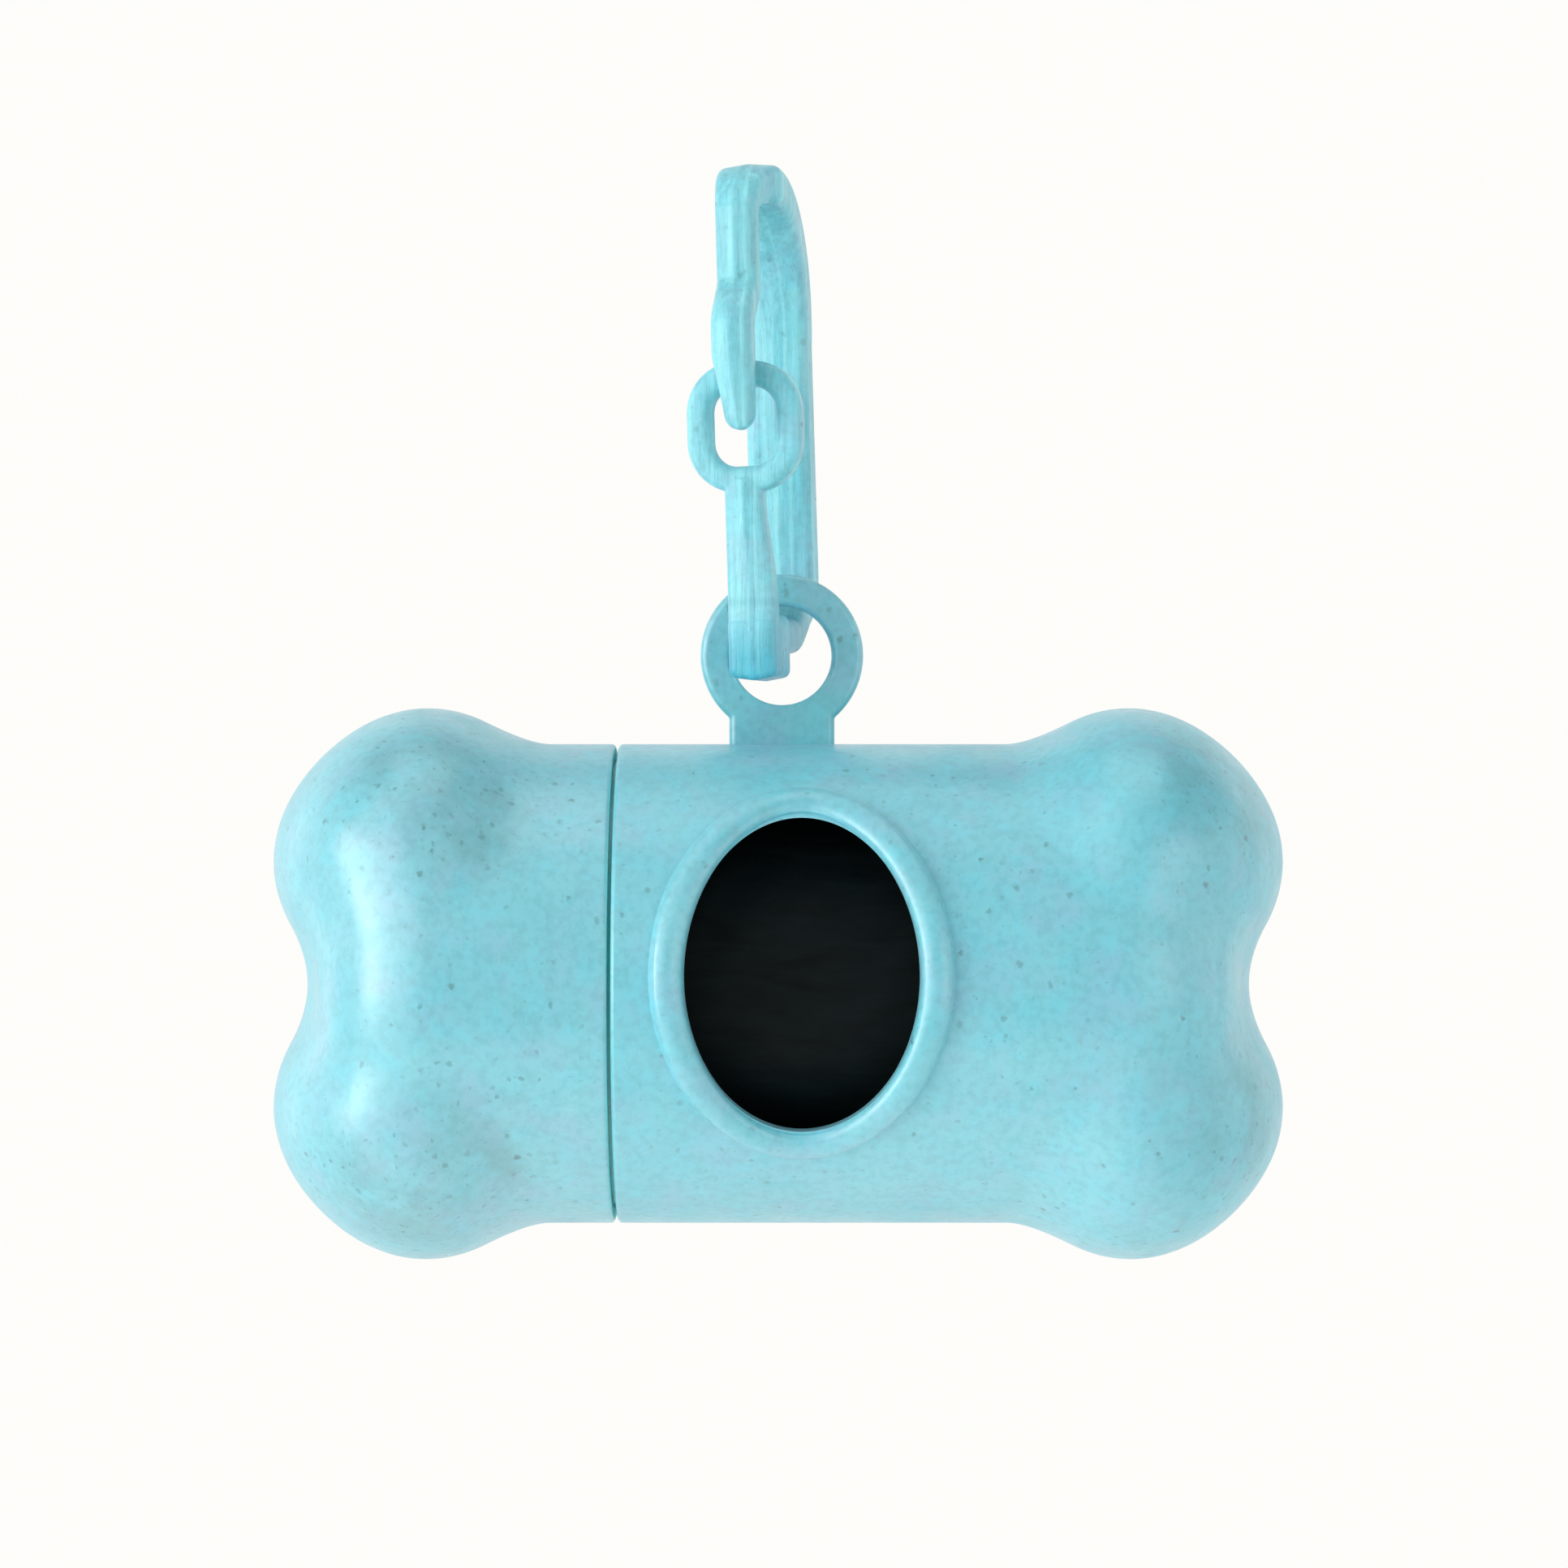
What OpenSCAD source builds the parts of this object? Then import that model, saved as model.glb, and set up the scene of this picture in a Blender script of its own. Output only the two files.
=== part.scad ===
// Bone-shaped holder for a roll of waste bags, hung by a ring from a moulded snap clip.
// Frame: X runs along the bone from the cap to the closed end, Y points away from the
// window side and Z is up. The origin is the inside top of the clip, where a leash sits.
// Lengths are in millimetres, angles in degrees.

/* [Barrel] */
// Outside radius of the barrel
barrel_r = 20; // [19.6:0.1:21]
// Wall of the barrel
wall = 2.7; // [2.2:0.1:2.9]
// Distance from the middle of the bone to the flat of each end
end_x = 37.4; // [37:0.1:38.5]
// Rounding of the barrel's closed ends
end_round = 10; // [8.5:0.5:10.5]
// Thickness of the two closed ends between the lobes
end_wall = 5.9; // [5.4:0.1:6.4]
// Rounding inside the closed ends
inner_round = 1.5; // [0.5:0.5:3]

/* [Lobes] */
// Distance of the lobes from the middle of the bone
lobe_x = 29.3; // [28.8:0.1:30.2]
// Height of each lobe above or below the barrel's axis
lobe_z = 10.2; // [9.4:0.1:10.8]
// Radius of a lobe seen from the window side
lobe_r = 12.6; // [12.1:0.1:13]
// Share by which a lobe's outline stands out along X and Z and draws in between them
lobe_bulge = 0.016; // [0:0.002:0.03]
// Half depth of a lobe, from the middle towards the window side
lobe_depth = 18; // [16.5:0.25:19.5]
// Radius of the valley between a lobe and the barrel
valley_r = 1.8; // [1:0.2:4]
// Radius of the valley between two lobes, on the end of the bone
notch_r = 6.5; // [3:0.5:8]

/* [Cap and neck] */
// Position of the seam between cap and body along the bone
seam_x = -13.3; // [-15:0.1:-12]
// Open joint between the cap's rim and the body's shoulder
seam_gap = 0.3; // [0.2:0.05:0.6]
// Rounding of the two edges at the seam
seam_round = 0.5; // [0.3:0.05:0.9]
// Wall of the cap around the neck
cap_wall = 1.4; // [1.2:0.05:1.6]
// Radial clearance of the neck in the cap
neck_gap = 0.08; // [0.05:0.01:0.1]
// Length of the neck
neck_len = 9; // [7:0.5:11]
// Length of the fitting land next to the shoulder
neck_land = 2.4; // [1.6:0.1:3]
// Step down from the land to the threaded length
thread_drop = 0.42; // [0.3:0.02:0.5]

/* [Window] */
// Middle of the window along the bone
window_x = 1.9; // [0:0.1:3]
// Middle of the window above the barrel's axis
window_z = 0.9; // [-1:0.1:1.5]
// Width of the opening along the bone
window_w = 18.6; // [15:0.1:20]
// Height of the opening
window_h = 24.8; // [20:0.1:25.5]
// Width of the rounded rim
rim_w = 2.7; // [2:0.1:3.2]
// Height of the rim above the barrel
rim_h = 1; // [0.6:0.1:1.4]

/* [Ring] */
// Position of the ring along the bone
ring_x = 0.3; // [-2:0.1:2]
// Height of the ring's centre above the barrel's top
ring_lift = 7.4; // [7.1:0.1:8.2]
// Radius of the ring's hole
ring_hole_r = 4.15; // [4:0.05:4.6]
// Width of the ring's band
ring_band = 2.65; // [2.1:0.05:3]
// Thickness of the ring
ring_t = 2.6; // [2:0.1:2.8]
// Rounding of the ring's edges
ring_round = 0.6; // [0.3:0.05:0.9]
// Width of the foot that joins the ring to the barrel
foot_w = 8.8; // [7.6:0.1:9.6]

/* [Clip] */
// Turn of the clip about the vertical
clip_yaw = -13; // [-16:0.5:0]
// Lean of the clip to the cap's side
clip_lean = -1.7; // [-3:0.1:3]
// Sideways place of the clip from the ring's middle
clip_shift = -0.95; // [-1.2:0.05:0]
// Height of the clip's outer top above the ring's centre
clip_top = 40.4; // [39:0.1:44]
// Distance from the front arm's middle to the spine's middle
clip_depth = 14; // [13.6:0.1:16]
// Width of the spine
spine_w = 5.5; // [4.8:0.1:5.8]
// Sideways place of the spine from the clip's middle
spine_shift = -0.15; // [-0.4:0.05:0.2]
// Thickness of the spine
spine_t = 3.3; // [2.8:0.1:3.6]
// Width of the front arm
arm_w = 3.4; // [2.8:0.1:4]
// Sideways place of the front arm from the clip's middle
arm_shift = -0.1; // [-0.6:0.1:0.2]
// Sideways place of the clip's top from the clip's middle
top_shift = 0.45; // [0:0.05:0.6]
// Thickness of the front arm
arm_t = 2.8; // [2.4:0.1:3]
// Outward step of the front arm's nose
nose_step = 2.3; // [2.2:0.1:3]
// Height of the nose's end above the ring's centre
nose_z = 18.2; // [17.5:0.1:19.5]
// Width of the nose where its round end begins
nose_end_w = 2.6; // [2:0.1:2.8]
// Width of the bar inside the ring
bar_w = 3.6; // [3.2:0.1:4]
// Sideways place of the bar from the clip's middle
bar_shift = 0.5; // [0.2:0.1:0.8]
// Gap between the bar and the top of the ring's hole
bar_gap = 0.7; // [0.5:0.05:0.9]
// Thickness of the bar
bar_t = 2.9; // [2.4:0.1:3.1]
// Rounding of the band's edges
band_round = 0.9; // [0.6:0.05:1.1]
// Height of the mould's ridge along the middle of the band
crown = 0.2; // [0:0.05:0.3]

/* [Gate] */
// Radius of the gate's round foot
foot_r = 1.5; // [1.4:0.05:1.7]
// Running clearance around the foot
foot_gap = 0.05; // [0.03:0.01:0.08]
// Thickness of the gate
gate_t = 2.2; // [1.8:0.1:2.4]
// Width of the gate above its foot
gate_w = 4; // [3.4:0.1:4]
// Width of the gate under the eye
gate_top_w = 3.2; // [2.6:0.1:3.6]
// Sideways place of the gate's top from the clip's middle
gate_shift = -0.2; // [-0.4:0.1:0.2]
// Height of the eye's centre above the ring's centre
eye_z = 18.7; // [18.4:0.1:19]
// Outer width of the eye
eye_w = 9.7; // [9:0.1:10.5]
// Outer height of the eye
eye_h = 10.8; // [10.2:0.1:11.4]
// Width of the bar that forms the eye
eye_bar = 2.15; // [1.8:0.05:2.3]
// Gap between the gate and the nose
nose_gap = 0.35; // [0.3:0.05:0.6]

/* [Bag roll] */
// Radial gap between a full roll and the chamber
roll_gap = 2.3; // [1.8:0.1:4]
// Drop of the roll's axis below the barrel's axis
roll_drop = 0.3; // [0:0.1:0.8]
// Length of the roll
roll_len = 57; // [50:0.5:57]
// Inner radius of the cardboard core
core_r = 6.2; // [5:0.1:7]
// Wall of the cardboard core
core_wall = 0.8; // [0.5:0.1:1.2]

/* [Hidden] */
// Depth by which pieces of one moulding run into each other
sink = 0.6;
// Amount by which cutting shapes pass the surface they cut
pass = 1;
bore_r = barrel_r - wall;
chamber_x = end_x - end_wall;
round_x = end_x - end_round;
round_r = barrel_r - end_round;
// The barrel's cylinder stops here and the lobed end takes over
join_x = lobe_x - lobe_r;
ray_x = join_x + 2;
socket_r = barrel_r - cap_wall;
land_r = socket_r - neck_gap;
thread_r = land_r - thread_drop;
cap_rim_x = seam_x - seam_gap;
neck_x = seam_x - neck_len;
socket_x = neck_x - seam_gap;
ring_r = ring_hole_r + ring_band;
ring_z = barrel_r + ring_lift;
// Middle lines of the clip, measured from the ring's centre
arm_y = -clip_depth / 2;
spine_y = clip_depth / 2;
top_z = clip_top - spine_t / 2;
corner_r = 2.6;
sweep_y = clip_depth - corner_r;
sweep_z = 12.5;
bar_top = ring_hole_r - bar_gap - crown;
bar_z = bar_top - bar_t / 2;
// The bar's level length starts here and falls a little on its way to the front
bar_back = 2.2;
bar_front = -2.9;
bar_fall = 0.36;
// Bend from the spine into the bar, and the slope at which it ends
turn_r = 3.2;
turn_rise = 5;
turn_slope = 24;
heel_back = -2.3;
heel_bottom = -2;
heel_w = 4;
// The heel and the gate's foot stand a little to the closed end's side of the clip's middle
heel_shift = 0.3;
heel_round = 0.7;
heel_edge = 0.3;
// Depth of the heel behind the gate's foot before it reaches its full height
heel_seat = 0.8;
gate_y = arm_y + 0.1;
gate_z = 3.9;
// The heel's front is flush with the gate, and its top ends below the hinge line
heel_front = gate_y - foot_r;
heel_top = gate_z - 0.6 * foot_r;
// Behind the gate's foot the heel has risen to the bar's top
heel_ledge = gate_y + foot_r + heel_seat;
// The leaf is a little thinner than its round foot
root_t = 2 * foot_r - 0.5;
eye_y = arm_y + 0.4;
// The nose stands outside the gate's front face by the nose gap
nose_y = min(arm_y - nose_step, eye_y - gate_t / 2 - nose_gap - arm_t / 2 - crown);
nose_taper = 4.8;
// The front arm steps back from the nose between two heights
nose_len = 8.4;
step_len = 4.2;
step_low = nose_z + nose_len;
step_high = step_low + step_len;
roll_r = bore_r - roll_gap;
roll_z = -roll_drop;
film_r = core_r + core_wall;
// The whole model hangs from the inside top of the clip
hang_y = arm_y + corner_r;
hang_side = -hang_y * sin(clip_yaw);
hang_up = clip_top - spine_t;
hang_x = ring_x + clip_shift + hang_up * sin(clip_lean) + hang_side * cos(clip_lean);
hang_z = ring_z + hang_up * cos(clip_lean) - hang_side * sin(clip_lean);

body_colour = [0.62, 0.84, 0.85];
clip_colour = [0.52, 0.76, 0.78];
film_colour = [0.05, 0.07, 0.08];
core_colour = [0.66, 0.54, 0.4];

// ---- shared shapes ----

// Moves the bone's frame so that the origin is the leash's place in the clip
module placed() {
    translate([-hang_x, -hang_y * cos(clip_yaw), -hang_z])
        children();
}

// Points of an arc, from one angle to another
function arc(c, rx, ry, from, to, steps) =
    [for (i = [0 : steps]) let (a = from + (to - from) * i / steps) [c[0] + rx * cos(a), c[1] + ry * sin(a)]];

// Turns a profile of [radius, position along X] about the bone's axis
module around_x() {
    rotate([0, 90, 0])
        rotate_extrude($fn = 128)
            children();
}

// Faces of a tube of point rings, closed by flat ends
function tube_faces(rings, around) = concat(
    [[for (j = [0 : around - 1]) j]],
    [for (i = [0 : rings - 2], j = [0 : around - 1])
        let (k = (j + 1) % around)
            [i * around + k, i * around + j, (i + 1) * around + j, (i + 1) * around + k]],
    [[for (j = [around - 1 : -1 : 0]) (rings - 1) * around + j]]
);

// Outline of a flat band with rounded edges: width across X, thickness along Y
function band_outline(w, t, round, steps = 3) =
    let (r = min(round, w / 2 - 0.05, t / 2 - 0.05))
        [for (q = [0 : 3], i = [0 : steps])
            let (
                a = 90 * q + 90 * i / steps,
                sx = (q == 0 || q == 3) ? 1 : -1,
                sy = q < 2 ? 1 : -1
            )
                [sx * (w / 2 - r) + r * cos(a), sy * (t / 2 - r) + r * sin(a)]];

// The same outline with a low ridge along the middle of both faces, as a mould leaves it
function crowned_outline(w, t, round) =
    let (
        flat = band_outline(w, t, round),
        ridge = t / 2 + crown * min(1, t / 2)
    )
        concat(
            [for (i = [0 : 3]) flat[i]], [[0, ridge]],
            [for (i = [4 : 11]) flat[i]], [[0, -ridge]],
            [for (i = [12 : 15]) flat[i]]
        );

// ---- lobed ends ----

// Distance from the barrel with its rounded end; minus inside
function barrel_gap(p) =
    let (
        along = abs(p[0]) - round_x,
        out = norm([p[1], p[2]]) - round_r
    )
        norm([max(along, 0), max(out, 0)]) - end_round + min(max(along, out), 0);

// Distance from one lobe, an ellipsoid with a slightly squared outline; minus inside
function lobe_gap(p, side) =
    let (
        q = [p[0] - lobe_x, p[1], p[2] - side * lobe_z],
        slant = pow(q[0] * q[2], 2) / max(pow(pow(q[0], 2) + pow(q[2], 2), 2), 0.001),
        r = lobe_r * (1 + lobe_bulge * (1 - 8 * slant)),
        k = norm([q[0] / r, q[1] / lobe_depth, q[2] / r]),
        s = norm([q[0] / pow(r, 2), q[1] / pow(lobe_depth, 2), q[2] / pow(r, 2)])
    )
        k * (k - 1) / max(s, 0.001);

// Union of two distances with a round valley of that radius
function join_gap(a, b, r) = max(r, min(a, b)) - norm([max(r - a, 0), max(r - b, 0)]);

// Distance from the whole end of the bone; minus inside
function bone_gap(p) = join_gap(barrel_gap(p), join_gap(lobe_gap(p, 1), lobe_gap(p, -1), notch_r), valley_r);

// Length of a ray from a point inside to the bone's surface, found by halving
function reach(from, way, near, far, halvings) =
    let (mid = (near + far) / 2)
        halvings <= 0
        ? mid
        : bone_gap(from + way * mid) < 0
        ? reach(from, way, mid, far, halvings - 1)
        : reach(from, way, near, mid, halvings - 1);

// One ring of points; the polar angle is 90 at the ray centre and 0 at the tip
function bone_ring(polar, around) =
    [for (j = [0 : around - 1])
        let (
            a = 360 * j / around,
            way = [cos(polar), sin(polar) * cos(a), sin(polar) * sin(a)],
            from = [ray_x, 0, 0]
        )
            from + way * reach(from, way, barrel_r / 4, end_x + barrel_r, 22)];

// Solid outside of one end of the bone, without the barrel
module bone_end() {
    around = 360 / 5.625;
    along = 88 / 4;
    root_r = barrel_r - 0.04;
    root = [for (j = [0 : around - 1])
        let (a = 360 * j / around) [join_x - 2 * sink, root_r * cos(a), root_r * sin(a)]];
    rings = [for (i = [0 : along - 1]) bone_ring(90 - 88 * i / (along - 1), around)];
    points = [for (ring = concat([root], rings)) for (p = ring) p];
    polyhedron(points = points, faces = tube_faces(along + 1, around), convexity = 4);
}

// Chamber profile from an open mouth to the closed end
module chamber_profile(mouth_x) {
    polygon(concat(
        [[0, mouth_x], [bore_r, mouth_x]],
        arc([bore_r - inner_round, chamber_x - inner_round], inner_round, inner_round, 0, 90, 6),
        [[0, chamber_x]]
    ));
}

// ---- body ----

// Barrel with a rounded shoulder and a stepped neck
module barrel() {
    around_x()
        polygon(concat(
            [[0, neck_x], [thread_r - seam_round, neck_x], [thread_r, neck_x + seam_round]],
            [[thread_r, seam_x - neck_land], [land_r, seam_x - neck_land + thread_drop], [land_r, seam_x]],
            arc([barrel_r - seam_round, seam_x + seam_round], seam_round, seam_round, -90, 0, 5),
            [[barrel_r, join_x], [0, join_x]]
        ));
}

// Point on the barrel's window side
function on_barrel(x, z) = [x, -sqrt(pow(barrel_r, 2) - pow(z, 2)), z];

// Rounded rim swept round the window on the barrel's curve
module window_rim() {
    around = 360 / 6;
    section = 360 / 36;
    half_x = (window_w + rim_w) / 2 - 0.15;
    half_z = (window_h + rim_w) / 2 - 0.15;
    points = [for (i = [0 : around - 1])
        let (
            a = 360 * i / around,
            z = window_z + half_z * sin(a),
            c = on_barrel(window_x + half_x * cos(a), z),
            out = [0, c[1], c[2]] / barrel_r,
            run = [-half_x * sin(a), -z / c[1] * half_z * cos(a), half_z * cos(a)],
            across = cross(out, run) / norm(run)
        )
            for (j = [0 : section - 1])
                let (b = 360 * j / section)
                    c + across * (rim_w / 2 * cos(b)) + out * (rim_h * (sin(b) > 0 ? sin(b) : 0.8 * sin(b)))];
    faces = [for (i = [0 : around - 1], j = [0 : section - 1])
        let (m = (i + 1) % around, k = (j + 1) % section)
            [i * section + k, i * section + j, m * section + j, m * section + k]];
    polyhedron(points = points, faces = faces, convexity = 6);
}

// Oval cutter for the window
module window_cut() {
    sides = 360 / 5;
    outline = arc([window_x, window_z], window_w / 2, window_h / 2, 0, 360 - 360 / sides, sides - 1);
    rotate([90, 0, 0])
        linear_extrude(height = barrel_r + rim_h + pass)
            polygon(outline);
}

module body_shell() {
    color(body_colour)
        placed() difference() {
            union() {
                barrel();
                bone_end();
                window_rim();
            }
            around_x()
                chamber_profile(neck_x - pass);
            window_cut();
        }
}

// Flat ring on its foot, which grows out of the barrel's top
module hang_ring() {
    color(body_colour)
        placed() difference() {
            union() {
                translate([ring_x, 0, ring_z])
                    rotate([90, 0, 0])
                        rotate_extrude($fn = 96)
                            translate([ring_hole_r + ring_band / 2, 0])
                                polygon(band_outline(ring_band, ring_t, ring_round, 4));
                translate([ring_x, 0, barrel_r - wall / 2])
                    linear_extrude(height = ring_lift + wall / 2 - ring_hole_r * 0.4)
                        polygon(band_outline(foot_w, ring_t, ring_round, 4));
            }
            translate([ring_x, ring_t, ring_z])
                rotate([90, 0, 0])
                    cylinder(r = ring_hole_r, h = 2 * ring_t, $fn = 96);
            translate([ring_x - foot_w, 0, 0])
                rotate([0, 90, 0])
                    cylinder(r = barrel_r, h = 2 * foot_w, $fn = 128);
        }
}

// ---- cap ----

// Cap drawn as the mirrored end of the bone
module end_cap() {
    rim_x = -cap_rim_x;
    edge = arc([barrel_r - seam_round, rim_x + seam_round], seam_round, seam_round, -90, 0, 5);
    color(body_colour)
        placed() mirror([1, 0, 0])
            difference() {
                union() {
                    around_x()
                        polygon(concat([[0, rim_x]], edge, [[barrel_r, join_x], [0, join_x]]));
                    bone_end();
                }
                around_x()
                    chamber_profile(rim_x - pass);
                around_x()
                    translate([0, rim_x - pass])
                        square([socket_r, pass - rim_x - socket_x]);
            }
}

// ---- clip ----

// Places the clip's own frame, with its origin at the ring's centre
module on_ring() {
    translate([ring_x + clip_shift, 0, ring_z])
        rotate([0, clip_lean, 0])
            rotate([0, 0, clip_yaw])
                children();
}

// Band swept along stations of [y, z, width, thickness, sideways shift]
module band(stations, round) {
    last = len(stations) - 1;
    around = len(crowned_outline(1, 1, round));
    points = [for (i = [0 : last])
        let (
            s = stations[i],
            before = stations[max(i - 1, 0)],
            after = stations[min(i + 1, last)],
            run = [after[0] - before[0], after[1] - before[1]],
            side = [run[1], -run[0]] / norm(run)
        )
            for (q = crowned_outline(s[2], s[3], round))
                [q[0] + (len(s) > 4 ? s[4] : 0), s[0] + q[1] * side[0], s[1] + q[1] * side[1]]];
    polyhedron(points = points, faces = tube_faces(last + 1, around), convexity = 6);
}

// Smooth step from 0 to 1
function ease(t) = t * t * (3 - 2 * t);

// Nose of the front arm: a rounded end, a taper from the cap's side and the outward step
function nose_stations() = concat(
    [for (i = [0 : 4])
        let (a = 8 + 18 * i)
            [
                nose_y,
                nose_z + nose_end_w / 2 * (1 - cos(a)),
                nose_end_w * sin(a),
                arm_t * (0.3 + 0.4 * sin(a)),
                arm_shift + (arm_w - nose_end_w) / 2
            ]],
    [for (i = [1 : 4])
        let (t = i / 4, w = nose_end_w + (arm_w - nose_end_w) * t)
            [
                nose_y,
                nose_z + nose_end_w / 2 + nose_taper * t,
                w,
                arm_t * (0.7 + 0.3 * t),
                arm_shift + (arm_w - w) / 2
            ]],
    [for (i = [0 : 7])
        let (t = i / 7)
            [
                nose_y + (arm_y - nose_y) * ease(t),
                step_low + (step_high - step_low) * t,
                arm_w,
                arm_t,
                arm_shift
            ]]
);

// Front arm's top, the small front corner and the long sweep to the spine
function top_stations() = concat(
    [for (p = arc([arm_y + corner_r, top_z - corner_r], corner_r, corner_r, 180, 90, 5))
        let (t = (p[0] - arm_y) / corner_r)
            [
                p[0],
                p[1],
                arm_w + (spine_w - arm_w) * t,
                arm_t + (spine_t - arm_t) * t,
                arm_shift + (top_shift - arm_shift) * t
            ]],
    [for (i = [1 : 14])
        let (a = 90 - 90 * i / 14)
            [
                arm_y + corner_r + sweep_y * cos(a),
                top_z - sweep_z + sweep_z * sin(a),
                spine_w,
                spine_t,
                spine_shift + (top_shift - spine_shift) * sin(a)
            ]]
);

// Spine, its lower corner and the bar that carries the ring
function low_stations() =
    let (
        turn_z = bar_z + turn_rise,
        spine_end = top_z - sweep_z
    )
        concat(
            [for (i = [1 : 3])
                [spine_y, turn_z + (spine_end - turn_z) * (1 - i / 3), spine_w, spine_t, spine_shift]],
            [for (a = [12 : 12 : 90 - turn_slope + 1])
                let (t = a / 90)
                    [
                        spine_y - turn_r + turn_r * cos(a),
                        turn_z - turn_r * sin(a),
                        spine_w - (spine_w - bar_w) * t,
                        spine_t,
                        spine_shift + (bar_shift - spine_shift) * t
                    ]],
            [for (t = [0 : 1 / 3 : 1])
                [bar_back + (bar_front - bar_back) * t, bar_z - bar_fall * t, bar_w, bar_t, bar_shift]]
        );

module clip_hook() {
    color(clip_colour)
        placed() on_ring()
            difference() {
                union() {
                    band(concat(nose_stations(), top_stations(), low_stations()), band_round);
                    band(heel_stations(), heel_round);
                }
                gate_foot(foot_r + foot_gap, heel_w + 2 * pass);
            }
}

// Block at the front that holds the bar and the gate's foot; its top drops towards the front
function heel_stations() = concat(
    [for (i = [0 : 3])
        let (a = 30 * i)
            heel_station(heel_front + heel_round * (1 - cos(a)), heel_round * (1 - sin(a)))],
    [
        heel_station(gate_y, 0),
        heel_station(heel_ledge, 0),
        heel_station(heel_back - heel_edge, 0),
        heel_station(heel_back, heel_edge)
    ]
);

// One station of the heel, drawn in by an inset on all four sides
function heel_station(y, inset) =
    let (
        rise = min(max((y - gate_y) / (heel_ledge - gate_y), 0), 1),
        top = heel_top + (bar_top - heel_top) * rise
    )
        [y, (top + heel_bottom) / 2, heel_w - 2 * inset, top - heel_bottom - 2 * inset, heel_shift];

// Round foot on the gate's hinge line
module gate_foot(r, length) {
    translate([heel_shift - length / 2, gate_y, gate_z])
        rotate([0, 90, 0])
            cylinder(r = r, h = length, $fn = 64);
}

// Eye: a rounded oblong bar bent round an opening
module eye() {
    around = 360 / 36;
    bend_r = 3.1;
    half_w = (eye_w - eye_bar) / 2;
    half_h = (eye_h - eye_bar) / 2;
    path = [for (q = [0 : 3], i = [0 : 6])
        let (
            a = 90 * q + 15 * i,
            sx = (q == 0 || q == 3) ? 1 : -1,
            sz = q < 2 ? 1 : -1
        )
            [sx * (half_w - bend_r) + bend_r * cos(a), sz * (half_h - bend_r) + bend_r * sin(a), a]];
    stations = len(path);
    points = [for (p = path)
        for (j = [0 : around - 1])
            let (
                b = 360 * j / around + 18,
                out = eye_bar / 2 * 1.06 * cos(b),
                off = gate_t / 2 * 1.06 * sin(b)
            )
                [p[0] + out * cos(p[2]), eye_y + off, eye_z + p[1] + out * sin(p[2])]];
    faces = [for (i = [0 : stations - 1], j = [0 : around - 1])
        let (m = (i + 1) % stations, k = (j + 1) % around)
            [i * around + k, i * around + j, m * around + j, m * around + k]];
    polyhedron(points = points, faces = faces, convexity = 6);
}

// Leaf from the foot to the eye's lower bar
function leaf_stations() =
    let (top = eye_z - eye_h / 2 + eye_bar / 2)
        [for (i = [0 : 8])
            let (t = i / 8)
                [
                    gate_y + (eye_y - gate_y) * ease(t),
                    gate_z + (top - gate_z) * t,
                    gate_w + (gate_top_w - gate_w) * ease(t),
                    gate_t + (root_t - gate_t) * pow(1 - t, 2),
                    heel_shift + (gate_shift - heel_shift) * ease(t)
                ]];

module clip_gate() {
    color(clip_colour)
        placed() on_ring()
            union() {
                gate_foot(foot_r, gate_w);
                band(leaf_stations(), 0.8);
                eye();
            }
}

// ---- bag roll ----

module bag_film() {
    color(film_colour)
        placed() translate([-roll_len / 2, 0, roll_z])
            rotate([0, 90, 0])
                difference() {
                    cylinder(r = roll_r, h = roll_len, $fn = 96);
                    translate([0, 0, -pass])
                        cylinder(r = film_r, h = roll_len + 2 * pass, $fn = 64);
                }
}

module roll_core() {
    color(core_colour)
        placed() translate([-roll_len / 2, 0, roll_z])
            rotate([0, 90, 0])
                difference() {
                    cylinder(r = film_r, h = roll_len, $fn = 64);
                    translate([0, 0, -pass])
                        cylinder(r = core_r, h = roll_len + 2 * pass, $fn = 64);
                }
}

body_shell();
hang_ring();
end_cap();
clip_hook();
clip_gate();
bag_film();
roll_core();
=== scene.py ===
"""Looks of a bone-shaped waste bag dispenser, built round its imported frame.

Lengths are in millimetres until a mesh is made.
"""
import math

import bmesh
import bpy
import numpy as np
from mathutils import Matrix, Vector


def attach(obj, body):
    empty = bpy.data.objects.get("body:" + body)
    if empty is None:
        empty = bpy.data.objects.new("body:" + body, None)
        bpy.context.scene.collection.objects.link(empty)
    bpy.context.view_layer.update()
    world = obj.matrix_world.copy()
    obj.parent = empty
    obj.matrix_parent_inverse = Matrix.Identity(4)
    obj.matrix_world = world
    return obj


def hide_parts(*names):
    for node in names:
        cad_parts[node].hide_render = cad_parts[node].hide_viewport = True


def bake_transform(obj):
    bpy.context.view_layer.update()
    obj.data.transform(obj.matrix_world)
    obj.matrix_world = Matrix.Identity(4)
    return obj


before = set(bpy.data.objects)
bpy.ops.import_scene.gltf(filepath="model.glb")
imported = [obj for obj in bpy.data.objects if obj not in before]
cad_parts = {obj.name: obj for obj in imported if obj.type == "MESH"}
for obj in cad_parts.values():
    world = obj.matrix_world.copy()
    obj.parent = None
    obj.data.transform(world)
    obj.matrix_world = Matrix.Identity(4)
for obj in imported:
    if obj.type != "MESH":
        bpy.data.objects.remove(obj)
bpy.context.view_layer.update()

MM = 0.001
TAU = 2 * math.pi

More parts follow.
